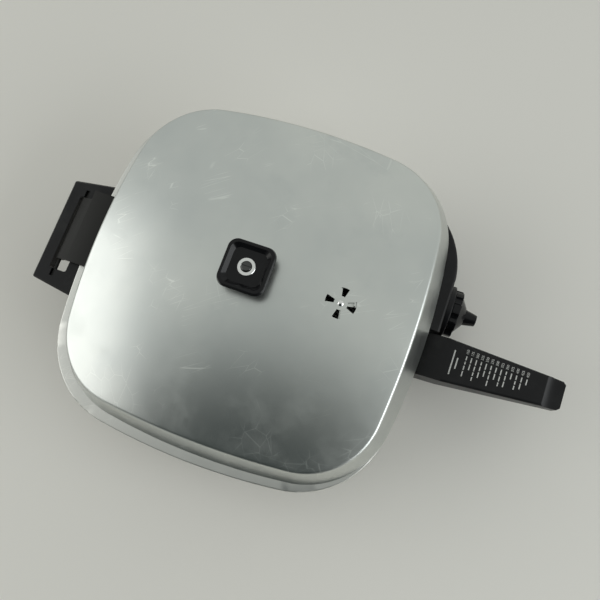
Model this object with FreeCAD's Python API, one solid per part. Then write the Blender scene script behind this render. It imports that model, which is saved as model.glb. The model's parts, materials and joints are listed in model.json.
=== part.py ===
"""Electric skillet: a square cast pan with a hinged lid, two handles and a built-in heat control.

Millimetres, +Z up. The origin is on the table under the middle of the pan, and +X points along the
main handle. The lid's hinge lies in the helper handle, on the -X side.
"""
import FreeCAD, Part
import math
import os

Vector = FreeCAD.Vector
Z_AXIS = Vector(0, 0, 1)
Y_AXIS = Vector(0, 1, 0)
X_AXIS = Vector(1, 0, 0)

# Plan shape shared by the pan, its rim and the lid: a square of four bulging sides
side_bulge = 426.0          # side arc radius is the half width plus this
corner_inset = 74.6         # corner arc radius is the half width less this
core_half = 76.0            # half width inside which a swept body is a plain slab

# Fits
seat_gap = 0.2              # between two pieces that rest on each other across a joint
running_gap = 0.08          # radial clearance of a shaft in its bore
clear_gap = 0.4             # between pieces that pass without touching

# Pan
rim_z = 72.0                # top of the pan's flange above the table
pan_half = 154.0            # flange, out to its edge
flange_thickness = 3.2
flange_edge_radius = 1.2
cavity_top_half = 144.0     # inside of the wall at the flange
cavity_floor_half = 136.0   # inside of the wall where the floor's curve starts
wall_thickness = 3.6
floor_thickness = 5.0
pan_depth = 46.0
floor_radius = 9.0
under_radius = 12.0

# Heating element, a sheathed tube in a groove under the floor
element_diameter = 7.6
element_groove_gap = 0.1
element_half = 82.0
element_bend = 20.0
element_bury = 3.4          # how deep the tube lies in the pad
element_pad_width = 15.0
element_pad_height = 3.6
element_exit_y = 60.0       # middle of the two ends, which leave under the control
element_exit_spacing = 22.0
element_jog = 11.0          # half the length of the bend towards the upper end
element_end_x = 148.0
terminal_diameter = 3.0
terminal_length = 7.0

# Feet
foot_place = 94.0           # from the middle, both ways
foot_top_diameter = 26.0
foot_sole_diameter = 20.0
foot_screw_diameter = 4.0
foot_screw_bite = 3.4       # how far the screw goes into the floor
foot_head_diameter = 8.0
foot_head_height = 2.6
foot_counterbore_gap = 0.8
foot_counterbore_depth = 6.0

# Lid
lid_shift_x = 5.0           # the lid sits off the pan's middle by what its hinge leaves
lid_shift_y = 4.0
lid_rim_half = 150.0
lid_crease_half = 138.0
skirt_height = 30.0         # rim to crease at the middle of a side
dome_rise = 15.6            # crease to crown
sheet = 1.3
crease_radius = 1.6
hem_width = 2.2
hem_height = 1.8

# Lid knob
knob_size = 40.0
knob_corner_radius = 8.5
knob_neck_size = 24.0
knob_neck_height = 3.0
knob_flare_height = 12.0    # where it is widest, above the lid
knob_height = 15.0
knob_top_inset = 0.9        # how much the top edge stands in from the widest place
knob_lip = 2.4
knob_dish_depth = 3.0
knob_edge_radius = 0.7
knob_screw_diameter = 5.0
knob_head_diameter = 8.2
knob_head_height = 2.0
knob_ring_diameter = 14.5
knob_ring_thickness = 1.0
knob_ring_gap = 0.2
knob_washer_diameter = 15.0
knob_washer_thickness = 1.0
knob_nut_size = 9.0
knob_nut_height = 3.6
knob_screw_tail = 2.0

# Lid vent: slots cut in the dome, and a turning shutter under it
vent_x = 76.2               # from the lid's middle
vent_inner_radius = 5.6
vent_outer_radius = 12.6
vent_slot_angle = 31.0
vent_tab_slot_angle = 46.0
vent_rest_turn = -5.0       # the shutter's openings stand this far round from the slots
shutter_radius = 14.8
shutter_thickness = 0.8
shutter_gap = 0.5           # under the dome, at the rivet
tab_turn = 12.0             # middle of the finger tab from the middle of its slot
tab_width = 3.0
tab_thickness = 1.0
tab_height = 3.4            # above the dome
tab_radius = 10.6
vent_rivet_diameter = 3.0
vent_rivet_head_diameter = 5.2
vent_rivet_head_height = 1.2
vent_spring_diameter = 8.4
vent_spring_thickness = 0.5

# Hinge plate on the lid and its pin, which lies in notches of the helper handle
plate_thickness = 2.0
plate_half = 34.5
plate_lift = 0.6            # above the pan's flange
plate_backing = 0.8         # extra thickness where the upright follows the skirt's curve
plate_flat_end_x = -166.6   # where it turns down towards the pin
plate_upright_height = 20.0
hinge_pin_diameter = 3.0
hinge_pin_half = 42.0
hinge_pin_x = -175.0
hinge_pin_z = 67.6
curl_thickness = 1.7
plate_rivet_diameter = 3.2
plate_rivet_head_diameter = 6.4
plate_rivet_head_height = 1.4
plate_rivet_y = 22.0
plate_rivet_rise = 11.0     # above the lid's rim

# Helper handle
helper_outer_x = -191.5
helper_y = -5.0              # its middle, across the pan
helper_opening_outer_x = -179.8
helper_opening_inner_x = -163.4
helper_outer_half = 48.0
helper_inner_half = 54.7
helper_inner_x = -146.0
helper_opening_half = 35.5
helper_drop = 1.4           # top face below the rim
helper_depth = 14.0
helper_corner_radius = 2.0
helper_bevel = 1.5
notch_gap = 0.3             # round the hinge pin in its notches
ear_y = 43.5
ear_width = 11.0
ear_reach_x = -170.0
ear_thickness = 5.0
ear_drop = 10.0             # top of the ear below the rim
helper_screw_x = -161.0
helper_screw_diameter = 4.0
helper_screw_head_diameter = 8.0
helper_screw_head_height = 2.6
helper_screw_bite = 6.0

# Main handle
handle_y = -3.5              # its middle, across the pan
handle_tip_x = 268.5
handle_tip_top_z = 80.0
handle_tip_depth = 15.0
handle_tip_half = 11.8
handle_root_top_z = 57.0
handle_root_depth = 33.0
handle_root_half = 18.6
handle_shoulder_x = 176.0   # where the root's slope meets the long top face
handle_shoulder_top_z = 65.0
handle_belly_x = 200.0
handle_belly_z = 41.0
handle_edge_radius = 2.0
handle_tip_chamfer = 2.2
thumb_dish_x = 262.0
thumb_dish_radius = 17.0
thumb_dish_depth = 3.4
boss_face_x = 151.0
boss_half = 12.0
boss_bottom_z = 32.0
boss_top_z = 60.0
bracket_thickness = 2.4
bracket_half = 11.0
bracket_tongue_z = 47.0
bracket_tongue_end_x = 214.0
bracket_bottom_z = 34.0
bracket_screw_y = 6.0
bracket_screw_drop = 6.5    # below the tongue
bracket_screw_diameter = 5.0
bracket_screw_head_diameter = 8.6
bracket_screw_head_height = 2.8
handle_screw_x = 202.0
handle_screw_diameter = 5.0
handle_screw_head_diameter = 9.0
handle_screw_head_height = 3.0
handle_screw_bite = 10.0
bracket_screw_bite = 7.0

# Control housing
housing_face_x = 164.0
housing_start_y = 17.0
housing_face_end_y = 66.0
housing_end_x = 136.0
housing_end_y = 117.0
housing_bulge = 6.0         # how far the rounded corner stands out from its chord
housing_top_drop = 7.0      # top face below the rim
housing_bottom_z = 11.0
housing_wall = 2.6
housing_edge_radius = 2.5
cover_thickness = 2.2
cover_gap = 0.2
post_diameter = 7.5
cover_screw_diameter = 3.0
cover_screw_head_diameter = 5.6
cover_screw_head_height = 2.0
cover_screw_bite = 8.0
lug_thickness = 4.0
lug_width = 11.0
lug_top_drop = 18.0         # below the rim
lug_screw_diameter = 4.0
lug_screw_head_diameter = 7.4
lug_screw_head_height = 2.6
lug_screw_bite = 6.0

# Control knob, its shaft and its bush
dial_y = 42.0
dial_z = 38.5
bezel_diameter = 47.0
bezel_height = 5.0
bezel_edge = 1.2
dial_face_gap = 0.8
dial_skirt_diameter = 42.0
dial_skirt_thickness = 6.5
dial_lobe_count = 8
dial_lobe_radius = 5.0
dial_lobe_offset = 23.2     # from the axis to the middle of a finger hollow
dial_shoulder_length = 6.0
dial_shoulder_diameter = 17.0
dial_grip_base_diameter = 14.6
dial_grip_tip_diameter = 9.8
dial_grip_length = 11.0
dial_edge_radius = 0.8
shaft_diameter = 6.0
shaft_flat = 1.2
shaft_back_x = 148.0
shaft_knob_depth = 14.0     # how far it reaches into the knob
bush_diameter = 10.0
bush_nut_size = 14.0
bush_nut_thickness = 2.4

# Thermostat behind the control knob
cam_diameter = 13.0
cam_eccentricity = 1.6
cam_thickness = 3.0
stack_size = 9.0
stack_y = 25.0
stack_foot_height = 6.0
blade_thickness = 0.7
blade_width = 6.0
blade_end_y = 53.0
blade_gap = 3.0             # between the two blades
cam_blade_gap = 0.5
contact_diameter = 4.0
carrier_thickness = 1.6
carrier_x = 149.6

# Inlet for the lead
inlet_y = 76.0
inlet_z = 40.0
inlet_width = 15.0
inlet_height = 34.0
inlet_depth = 14.0
inlet_wall = 1.8
inlet_back_thickness = 3.4
inlet_pin_diameter = 4.8
inlet_pin_spacing = 15.0
inlet_pin_front = 6.0       # the pins stop this far inside the housing's flat face
inlet_pin_tail = 3.0

CORNER_CENTRE = (math.sqrt(2 * (side_bulge + corner_inset) ** 2 - side_bulge ** 2) - side_bulge) / 2
SIDE_ANGLE = math.degrees(math.atan2(CORNER_CENTRE, CORNER_CENTRE + side_bulge))

floor_top_z = rim_z - pan_depth
floor_under_z = floor_top_z - floor_thickness
pad_under_z = floor_under_z - element_pad_height
element_z = pad_under_z + element_bury - element_diameter / 2
flange_under_z = rim_z - flange_thickness
lid_rim_z = rim_z + seat_gap
crease_z = lid_rim_z + skirt_height
crown_z = crease_z + dome_rise
dome_radius = (lid_crease_half ** 2 + dome_rise ** 2) / (2 * dome_rise)
dome_centre_z = crown_z - dome_radius
skirt_slope = (lid_rim_half - lid_crease_half) / skirt_height
helper_top_z = rim_z - helper_drop
helper_bottom_z = helper_top_z - helper_depth
ear_top_z = rim_z - ear_drop
housing_top_z = rim_z - housing_top_drop
bezel_face_x = housing_face_x + bezel_height
dial_back_x = bezel_face_x + dial_face_gap
bracket_screw_z = bracket_tongue_z - bracket_screw_drop
plate_rivet_z = lid_rim_z + plate_rivet_rise
middle_x = (helper_outer_x + handle_tip_x) / 2
middle_y = (max(pan_half, lid_rim_half + lid_shift_y) - pan_half) / 2


def turned(shape, quarter):
    """A copy of the shape, turned about the pan's middle by a number of quarter turns."""
    copy = shape.copy()
    copy.rotate(Vector(0, 0, 0), Z_AXIS, 90 * quarter)
    return copy


def moved(shape, x=0.0, y=0.0, z=0.0):
    """A copy of the shape, moved."""
    copy = shape.copy()
    copy.translate(Vector(x, y, z))
    return copy


def joined(shapes):
    """The shapes as one solid, with the seams between them taken out."""
    first, rest = shapes[0], shapes[1:]
    return first.fuse(rest).removeSplitter() if rest else first


def outline(half, z):
    """The plan shape's wire at a half width and height: four side arcs and four corner arcs."""
    side_radius = half + side_bulge
    corner_radius = half - corner_inset
    edges = []
    for quarter in range(4):
        side = Part.makeCircle(side_radius, Vector(-side_bulge, 0, z), Z_AXIS, -SIDE_ANGLE, SIDE_ANGLE)
        corner = Part.makeCircle(
            corner_radius, Vector(CORNER_CENTRE, CORNER_CENTRE, z), Z_AXIS, SIDE_ANGLE, 90 - SIDE_ANGLE)
        edges += [turned(side, quarter), turned(corner, quarter)]
    return Part.Wire(edges)


def slab(half, low, high):
    """A plate of the plan shape between two heights."""
    return Part.Face(outline(half, low)).extrude(Vector(0, 0, high - low))


def profile(start, *steps):
    """A face in the XZ plane. A step is an end point, or a (middle, end) pair for an arc."""
    at = Vector(start[0], 0, start[1])
    first, edges = at, []
    for step in steps:
        if isinstance(step[0], tuple):
            middle, end = (Vector(p[0], 0, p[1]) for p in step)
            edges.append(Part.Arc(at, middle, end).toShape())
        else:
            end = Vector(step[0], 0, step[1])
            edges.append(Part.makeLine(at, end))
        at = end
    if (at - first).Length > 1e-6:
        edges.append(Part.makeLine(at, first))
    return Part.Face(Part.Wire(edges))


def band(section):
    """The section, drawn as half width against height, carried round the plan shape."""
    pieces = []
    for quarter in range(4):
        start = section.copy()
        start.rotate(Vector(-side_bulge, 0, 0), Z_AXIS, -SIDE_ANGLE)
        side = start.revolve(Vector(-side_bulge, 0, 0), Z_AXIS, 2 * SIDE_ANGLE)
        start = section.copy()
        start.rotate(Vector(-side_bulge, 0, 0), Z_AXIS, SIDE_ANGLE)
        corner = start.revolve(Vector(CORNER_CENTRE, CORNER_CENTRE, 0), Z_AXIS, 90 - 2 * SIDE_ANGLE)
        pieces += [turned(side, quarter), turned(corner, quarter)]
    return joined(pieces)


def cylinder(diameter, length, at, axis=Z_AXIS):
    """A round bar from a point along an axis."""
    return Part.makeCylinder(diameter / 2, length, at, axis)


def box(low, high):
    """A box between two corners."""
    return Part.makeBox(high[0] - low[0], high[1] - low[1], high[2] - low[2], Vector(*low))


def bored(diameter, bore, length, at, axis=Z_AXIS):
    """A round bar with a hole right through."""
    return cylinder(diameter, length, at, axis).cut(cylinder(bore, length, at, axis))


def hexagon(across_flats, bore, length, at, axis=Z_AXIS):
    """A hexagon nut with a plain hole."""
    corner = across_flats / math.sqrt(3)
    points = [Vector(corner * math.cos(math.radians(60 * k)), corner * math.sin(math.radians(60 * k)), 0)
              for k in range(7)]
    nut = Part.Face(Part.makePolygon(points)).extrude(Vector(0, 0, length))
    nut = nut.cut(cylinder(bore, length, Vector(0, 0, 0)))
    nut.Placement = FreeCAD.Placement(at, FreeCAD.Rotation(Z_AXIS, axis))
    return nut


def pan_head_screw(diameter, length, head_diameter, head_height, at, axis):
    """A slotted screw. The underside of its head is at the point, and the shank runs along the axis."""
    back = axis * -1
    head = cylinder(head_diameter, head_height, at, back)
    rim = [e for e in head.Edges if e.Curve.TypeId == "Part::GeomCircle"
           and (e.Curve.Center - (at + back * head_height)).Length < 1e-6]
    head = head.makeFillet(head_height * 0.45, rim)
    slot = Part.makeBox(head_diameter, head_diameter * 0.14, head_height * 0.5)
    slot.translate(Vector(-head_diameter / 2, -head_diameter * 0.07, 0))
    slot.Placement = FreeCAD.Placement(
        at + back * head_height, FreeCAD.Rotation(Z_AXIS, axis)).multiply(slot.Placement)
    return head.cut(slot).fuse(cylinder(diameter, length, at, axis)).removeSplitter()


def rounded_rectangle(width, depth, radius, z, x=0.0, y=0.0):
    """A wire: a rectangle with round corners, about a middle."""
    flat_x, flat_y = width / 2 - radius, depth / 2 - radius
    edges = []
    for cx, cy, start in ((flat_x, flat_y, 0), (-flat_x, flat_y, 90), (-flat_x, -flat_y, 180),
                          (flat_x, -flat_y, 270)):
        edges.append(Part.makeCircle(radius, Vector(x + cx, y + cy, z), Z_AXIS, start, start + 90))
    wire = []
    for one, two in zip(edges, edges[1:] + edges[:1]):
        wire += [one, Part.makeLine(one.Vertexes[-1].Point, two.Vertexes[0].Point)]
    return Part.Wire(wire)


def polygon(points, z):
    """A closed wire through points of the XY plane."""
    return Part.makePolygon([Vector(x, y, z) for x, y in points + points[:1]])


def prism(wire, height):
    """The wire's face carried up."""
    return Part.Face(wire).extrude(Vector(0, 0, height))


def bent_path(points, bend):
    """A wire of straight runs joined by tangent arcs of one radius."""
    edges, at = [], points[0]
    for before, corner, after in zip(points, points[1:], points[2:]):
        back = (before - corner).normalize()
        ahead = (after - corner).normalize()
        half_turn = (math.pi - back.getAngle(ahead)) / 2
        reach = bend * math.tan(half_turn)
        inward = (back + ahead).normalize()
        middle = corner + inward * (bend / math.cos(half_turn) - bend)
        start, end = corner + back * reach, corner + ahead * reach
        edges += [Part.makeLine(at, start), Part.Arc(start, middle, end).toShape()]
        at = end
    return Part.Wire(edges + [Part.makeLine(at, points[-1])])


def tube(path, diameter):
    """A round bar along a path."""
    first = path.Edges[0]
    start = first.valueAt(first.FirstParameter)
    ring = Part.Wire(Part.makeCircle(diameter / 2, start, first.tangentAt(first.FirstParameter)))
    return path.makePipeShell([ring], True, False)


def edges_at(shape, test):
    """The shape's edges whose every vertex passes the test."""
    return [e for e in shape.Edges if e.Vertexes and all(test(v.Point) for v in e.Vertexes)]


def pan_outside(gap):
    """Everything inside the pan's outer faces, grown by a gap, to cut what stands against it."""
    turn_z = floor_under_z + under_radius
    wall = Part.makeLoft([outline(wall_half_at(turn_z) + gap, turn_z),
                          outline(wall_half_at(flange_under_z) + gap, flange_under_z)], True, True)
    flange = slab(pan_half + gap, flange_under_z - gap, rim_z + crown_z)
    return wall.fuse([flange, slab(wall_half_at(turn_z) + gap, 0, turn_z)])


def wall_half_at(z):
    """Half width of the pan's outer wall at a height above the turn of its floor."""
    low_z = floor_under_z + under_radius
    low, high = cavity_floor_half + wall_thickness, cavity_top_half + wall_thickness
    return low + (high - low) * (z - low_z) / (flange_under_z - low_z)


def element_path():
    """Middle line of the heating element: once round under the floor, and out under the control."""
    low_y = element_exit_y - element_exit_spacing / 2
    high_y = element_exit_y + element_exit_spacing / 2
    half = element_half
    points = [(element_end_x, low_y), (half, low_y), (half, -half), (-half, -half), (-half, half),
              (half - element_jog, half), (half + element_jog, high_y), (element_end_x, high_y)]
    return bent_path([Vector(x, y, element_z) for x, y in points], element_bend)


def cavity_profile():
    """The pan's section from the core slab outwards: floor, wall and flange."""
    inner, outer = cavity_floor_half, cavity_floor_half + wall_thickness
    turn, bend = under_radius, floor_radius
    lean = math.sqrt(0.5)
    edge = flange_edge_radius
    inside_middle = (inner - bend + bend * lean, floor_top_z + bend - bend * lean)
    outside_middle = (outer - turn + turn * lean, floor_under_z + turn - turn * lean)
    tip = pan_half - edge
    return profile(
        (core_half, floor_under_z),
        (outer - turn, floor_under_z),
        (outside_middle, (outer, floor_under_z + turn)),
        (cavity_top_half + wall_thickness, flange_under_z),
        (tip, flange_under_z),
        ((tip + edge * lean, flange_under_z + edge - edge * lean), (pan_half, flange_under_z + edge)),
        (pan_half, rim_z - edge),
        ((tip + edge * lean, rim_z - edge + edge * lean), (tip, rim_z)),
        (cavity_top_half, rim_z),
        (inner, floor_top_z + bend),
        (inside_middle, (inner - bend, floor_top_z)),
        (core_half, floor_top_z))


def pan_lugs():
    """Cast blocks on the pan's wall: two ears, the handle's boss and the housing's two lugs."""
    ear_z = ear_top_z - ear_thickness
    blocks = [box((ear_reach_x, y - ear_width / 2, ear_z),
                  (helper_inner_x + wall_thickness, y + ear_width / 2, ear_top_z)) for y in ear_middles()]
    blocks.append(box((cavity_floor_half + wall_thickness / 2, handle_y - boss_half, boss_bottom_z),
                      (boss_face_x, handle_y + boss_half, boss_top_z)))
    lug_z = rim_z - lug_top_drop - lug_thickness
    for x, y in lug_screw_places():
        blocks.append(box((x - lug_width * 2, y - lug_width / 2, lug_z),
                          (x + lug_width / 2, y + lug_width / 2, lug_z + lug_thickness)))
    return blocks


def ear_middles():
    """The middles, across the pan, of the two ears that carry the helper handle."""
    return (helper_y - ear_y, helper_y + ear_y)


def lug_screw_places():
    """Where the housing's two screws stand, from above."""
    inside_x = housing_face_x - housing_wall
    return [(inside_x - lug_width * 0.75, housing_start_y + housing_wall + lug_width * 0.6),
            (housing_end_x + lug_width * 0.25, housing_end_y - housing_wall - lug_width * 1.5)]


def pan():
    """The cast pan with its flange, element pad, lugs and screw holes."""
    pad_in = (element_half - element_pad_width / 2) * 2
    pad_out = (element_half + element_pad_width / 2) * 2
    pad_bend = element_bend + element_pad_width / 2
    pad = prism(rounded_rectangle(pad_out, pad_out, pad_bend, pad_under_z), element_pad_height)
    pad = pad.cut(prism(rounded_rectangle(
        pad_in, pad_in, element_bend - element_pad_width / 2, pad_under_z), element_pad_height))
    mid_wall = wall_thickness / 2
    hollow = Part.makeLoft([outline(cavity_floor_half + mid_wall, floor_top_z + floor_radius),
                            outline(cavity_top_half + mid_wall, rim_z)], True, True)
    lugs = Part.makeCompound(pan_lugs()).cut(hollow)
    body = joined([band(cavity_profile()), slab(core_half + 1, floor_under_z, floor_top_z), pad]
                  + lugs.Solids)
    groove = tube(element_path(), element_diameter + 2 * element_groove_gap)
    cuts = [groove]
    cuts += [cylinder(foot_screw_diameter, foot_screw_bite, Vector(x, y, floor_under_z))
             for x, y in foot_places()]
    ear_z = ear_top_z - ear_thickness
    cuts += [cylinder(helper_screw_diameter, ear_thickness, Vector(helper_screw_x, y, ear_z))
             for y in ear_middles()]
    lug_z = rim_z - lug_top_drop - lug_thickness
    cuts += [cylinder(lug_screw_diameter, lug_thickness, Vector(x, y, lug_z))
             for x, y in lug_screw_places()]
    cuts += [cylinder(bracket_screw_diameter, bracket_screw_bite,
                      Vector(boss_face_x, y, bracket_screw_z), X_AXIS * -1) for y in bracket_screw_ys()]
    return body.cut(cuts).removeSplitter()


def bracket_screw_ys():
    """The two places across, of the screws that hold the handle's bracket."""
    return (handle_y - bracket_screw_y, handle_y + bracket_screw_y)


def heating_element():
    """The sheathed tube with a thinner terminal at each end."""
    pieces = [tube(element_path(), element_diameter)]
    for side in (-1, 1):
        y = element_exit_y + side * element_exit_spacing / 2
        pieces.append(cylinder(terminal_diameter, terminal_length, Vector(element_end_x, y, element_z), X_AXIS))
    return joined(pieces)


def foot_places():
    """Where the four feet stand, from above."""
    return [(x, y) for x in (-foot_place, foot_place) for y in (-foot_place, foot_place)]


def foot(x, y):
    """A tapered foot with a screw hole and a counterbore in its sole."""
    body = Part.makeCone(foot_sole_diameter / 2, foot_top_diameter / 2, floor_under_z, Vector(x, y, 0))
    body = body.makeFillet(1.0, edges_at(body, lambda p: p.z < 1e-6))
    bore = cylinder(foot_screw_diameter, floor_under_z, Vector(x, y, 0))
    head = cylinder(foot_head_diameter + 2 * foot_counterbore_gap, foot_counterbore_depth, Vector(x, y, 0))
    return body.cut([bore, head])


def foot_screws():
    """The four screws that hold the feet, as a group."""
    length = floor_under_z - foot_counterbore_depth + foot_screw_bite
    return Part.makeCompound([
        pan_head_screw(foot_screw_diameter, length, foot_head_diameter, foot_head_height,
                       Vector(x, y, foot_counterbore_depth), Z_AXIS) for x, y in foot_places()])


def skirt_half_at(z):
    """Half width of the lid's outer face at a height."""
    return lid_rim_half - skirt_slope * (z - lid_rim_z)


def dome_ball(radius):
    """A ball about the dome's centre, turned so that its seam and poles are away from the dome."""
    centre = Vector(0, 0, dome_centre_z)
    ball = Part.makeSphere(radius, centre, X_AXIS)
    ball.rotate(centre, X_AXIS, 90)
    return ball


def lid_block(inset):
    """The lid's outer form, or the same form a distance inside it, as one closed solid."""
    top_z = crown_z + sheet
    sides = Part.makeLoft([outline(skirt_half_at(lid_rim_z) - inset, lid_rim_z),
                           outline(skirt_half_at(top_z) - inset, top_z)], True, True)
    return sides.common(dome_ball(dome_radius - inset))


def crease_edges(block):
    """The edges where the dome meets the skirt: those whose middle lies on the dome."""
    centre = Vector(0, 0, dome_centre_z)
    middles = [(e, e.valueAt((e.FirstParameter + e.LastParameter) / 2)) for e in block.Edges]
    return [e for e, middle in middles if abs((middle - centre).Length - dome_radius) < 1e-3]


def tilted_to_vent(shape):
    """The shape, drawn about the crown's axis, turned to stand square on the dome at the vent."""
    copy = shape.copy()
    tilt = math.degrees(math.asin(vent_x / dome_radius))
    copy.rotate(Vector(0, 0, dome_centre_z), Y_AXIS, tilt)
    return copy


def keystone(inner, outer, angle, turn, low, high):
    """A sector between two radii, for a slot of the vent."""
    blank = Part.makeCylinder(outer, high - low, Vector(0, 0, low), Z_AXIS, angle)
    blank.rotate(Vector(0, 0, 0), Z_AXIS, turn - angle / 2)
    return blank.cut(Part.makeCylinder(inner, high - low, Vector(0, 0, low)))


def vent_slots(turn, tab_slot_angle, low, high):
    """Four keystone slots about the crown's axis; the first one may be wider."""
    return [keystone(vent_inner_radius, vent_outer_radius, tab_slot_angle if k == 0 else vent_slot_angle,
                     turn + 90 * k, low, high) for k in range(4)]


def lid_shell():
    """The drawn lid: a low dome, a flared skirt with a folded hem, and the vent's slots."""
    outside = lid_block(0)
    outside = outside.makeFillet(crease_radius, crease_edges(outside))
    hem = band(profile((core_half, lid_rim_z), (lid_rim_half, lid_rim_z),
                       (skirt_half_at(lid_rim_z + hem_height), lid_rim_z + hem_height),
                       (core_half, lid_rim_z + hem_height)))
    hem = hem.cut(slab(lid_rim_half - hem_width, lid_rim_z, lid_rim_z + hem_height))
    shell = outside.cut(lid_block(sheet)).fuse(hem).removeSplitter()
    low, high = crown_z - 3 * sheet, crown_z + sheet
    cuts = [tilted_to_vent(slot) for slot in vent_slots(0, vent_tab_slot_angle, low, high)]
    cuts.append(tilted_to_vent(cylinder(vent_rivet_diameter, high - low, Vector(0, 0, low))))
    cuts.append(cylinder(knob_screw_diameter, high - low, Vector(0, 0, low)))
    notch_z = rim_z + plate_lift + plate_thickness + seat_gap
    cuts.append(box((-lid_rim_half - hem_width, -plate_half - clear_gap, lid_rim_z - 1),
                    (-lid_crease_half, plate_half + clear_gap, notch_z)))
    shift = Vector(lid_shift_x, lid_shift_y, 0)
    cuts += [cylinder(plate_rivet_diameter, 4 * sheet, start - shift - inward * sheet, inward)
             for start, inward in plate_rivet_starts()]
    return shell.cut(cuts)


def lid_knob():
    """The low square knob: a neck, a flare and a dished top with a thin lip round it."""
    neck = rounded_rectangle(knob_neck_size, knob_neck_size, knob_corner_radius * 0.6, crown_z)
    collar = rounded_rectangle(knob_neck_size, knob_neck_size, knob_corner_radius * 0.6,
                               crown_z + knob_neck_height)
    wide = rounded_rectangle(knob_size, knob_size, knob_corner_radius, crown_z + knob_flare_height)
    top_size = knob_size - 2 * knob_top_inset
    top_radius = knob_corner_radius - knob_top_inset
    top = rounded_rectangle(top_size, top_size, top_radius, crown_z + knob_height)
    body = Part.makeLoft([neck, collar, wide, top], True, True)
    brim = edges_at(body, lambda p: abs(p.z - crown_z - knob_height) < 1e-6)
    body = body.makeFillet(knob_edge_radius, brim)
    mouth_size = top_size - 2 * knob_lip
    mouth = rounded_rectangle(mouth_size, mouth_size, top_radius - knob_lip * 0.5, crown_z + knob_height)
    floor_size = mouth_size - 2 * knob_dish_depth
    floor = rounded_rectangle(floor_size, floor_size, top_radius - knob_lip, knob_dish_z())
    dish = Part.makeLoft([floor, mouth], True, True)
    return body.cut([dish, cylinder(knob_screw_diameter, knob_height, Vector(0, 0, crown_z))])


def knob_dish_z():
    """Height of the floor of the knob's dish."""
    return crown_z + knob_height - knob_dish_depth


def knob_ring():
    """The bright ring that lies in the knob's dish about the screw."""
    bore = knob_head_diameter + 2 * knob_ring_gap
    ring = bored(knob_ring_diameter, bore, knob_ring_thickness, Vector(0, 0, knob_dish_z()))
    return ring.makeChamfer(knob_ring_thickness * 0.3, edges_at(
        ring, lambda p: p.z > knob_dish_z() + knob_ring_thickness * 0.5))


def knob_washer_z():
    """Underside of the washer inside the lid."""
    return crown_z - sheet - knob_washer_thickness


def knob_screw():
    """The screw through the knob and the dome."""
    length = knob_dish_z() - knob_washer_z() + knob_nut_height + knob_screw_tail
    return pan_head_screw(knob_screw_diameter, length, knob_head_diameter, knob_head_height,
                          Vector(0, 0, knob_dish_z()), Z_AXIS * -1)


def knob_washer():
    """The washer that spreads the nut's load on the inside of the dome."""
    washer = bored(knob_washer_diameter, knob_screw_diameter, knob_washer_thickness + sheet,
                   Vector(0, 0, knob_washer_z()))
    return washer.common(dome_ball(dome_radius - sheet))


def knob_nut():
    """The nut inside the lid."""
    return hexagon(knob_nut_size, knob_screw_diameter, knob_nut_height,
                   Vector(0, 0, knob_washer_z() - knob_nut_height))


def vent_shutter():
    """The turning disc under the vent, with four openings and a finger tab bent up through a slot."""
    top = crown_z - sheet - shutter_gap
    low = top - shutter_thickness
    disc = bored(shutter_radius * 2, vent_rivet_diameter + 2 * running_gap, shutter_thickness, Vector(0, 0, low))
    cuts = vent_slots(vent_rest_turn, vent_slot_angle, low, top)
    disc = disc.cut(cuts)
    tab = box((tab_radius - tab_thickness / 2, -tab_width / 2, low),
              (tab_radius + tab_thickness / 2, tab_width / 2, crown_z + tab_height))
    lip = box((vent_inner_radius, -tab_width / 2, low), (vent_outer_radius, tab_width / 2, top))
    arm = tab.fuse(lip)
    arm.rotate(Vector(0, 0, 0), Z_AXIS, tab_turn)
    return tilted_to_vent(disc.fuse(arm).removeSplitter())


def vent_rivet():
    """The rivet on which the shutter turns, with a domed head above and a flat one below."""
    low = vent_spring_z()
    head_radius = vent_rivet_head_diameter / 2
    ball = (head_radius ** 2 + vent_rivet_head_height ** 2) / (2 * vent_rivet_head_height)
    dome = Part.makeSphere(ball, Vector(0, 0, crown_z + vent_rivet_head_height - ball))
    head = dome.common(cylinder(vent_rivet_head_diameter, vent_rivet_head_height, Vector(0, 0, crown_z)))
    shank = cylinder(vent_rivet_diameter, crown_z - low, Vector(0, 0, low))
    tail = cylinder(vent_rivet_head_diameter, vent_rivet_head_height, Vector(0, 0, low - vent_rivet_head_height))
    return tilted_to_vent(joined([head, shank, tail]))


def vent_spring_z():
    """Underside of the spring washer that presses the shutter up."""
    return crown_z - sheet - shutter_gap - shutter_thickness - seat_gap - vent_spring_thickness


def vent_spring():
    """The spring washer under the shutter, held by the rivet's lower head."""
    return tilted_to_vent(bored(vent_spring_diameter, vent_rivet_diameter, vent_spring_thickness,
                                Vector(0, 0, vent_spring_z())))


def plate_under_z():
    """Underside of the hinge plate's level stretch."""
    return rim_z + plate_lift


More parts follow.
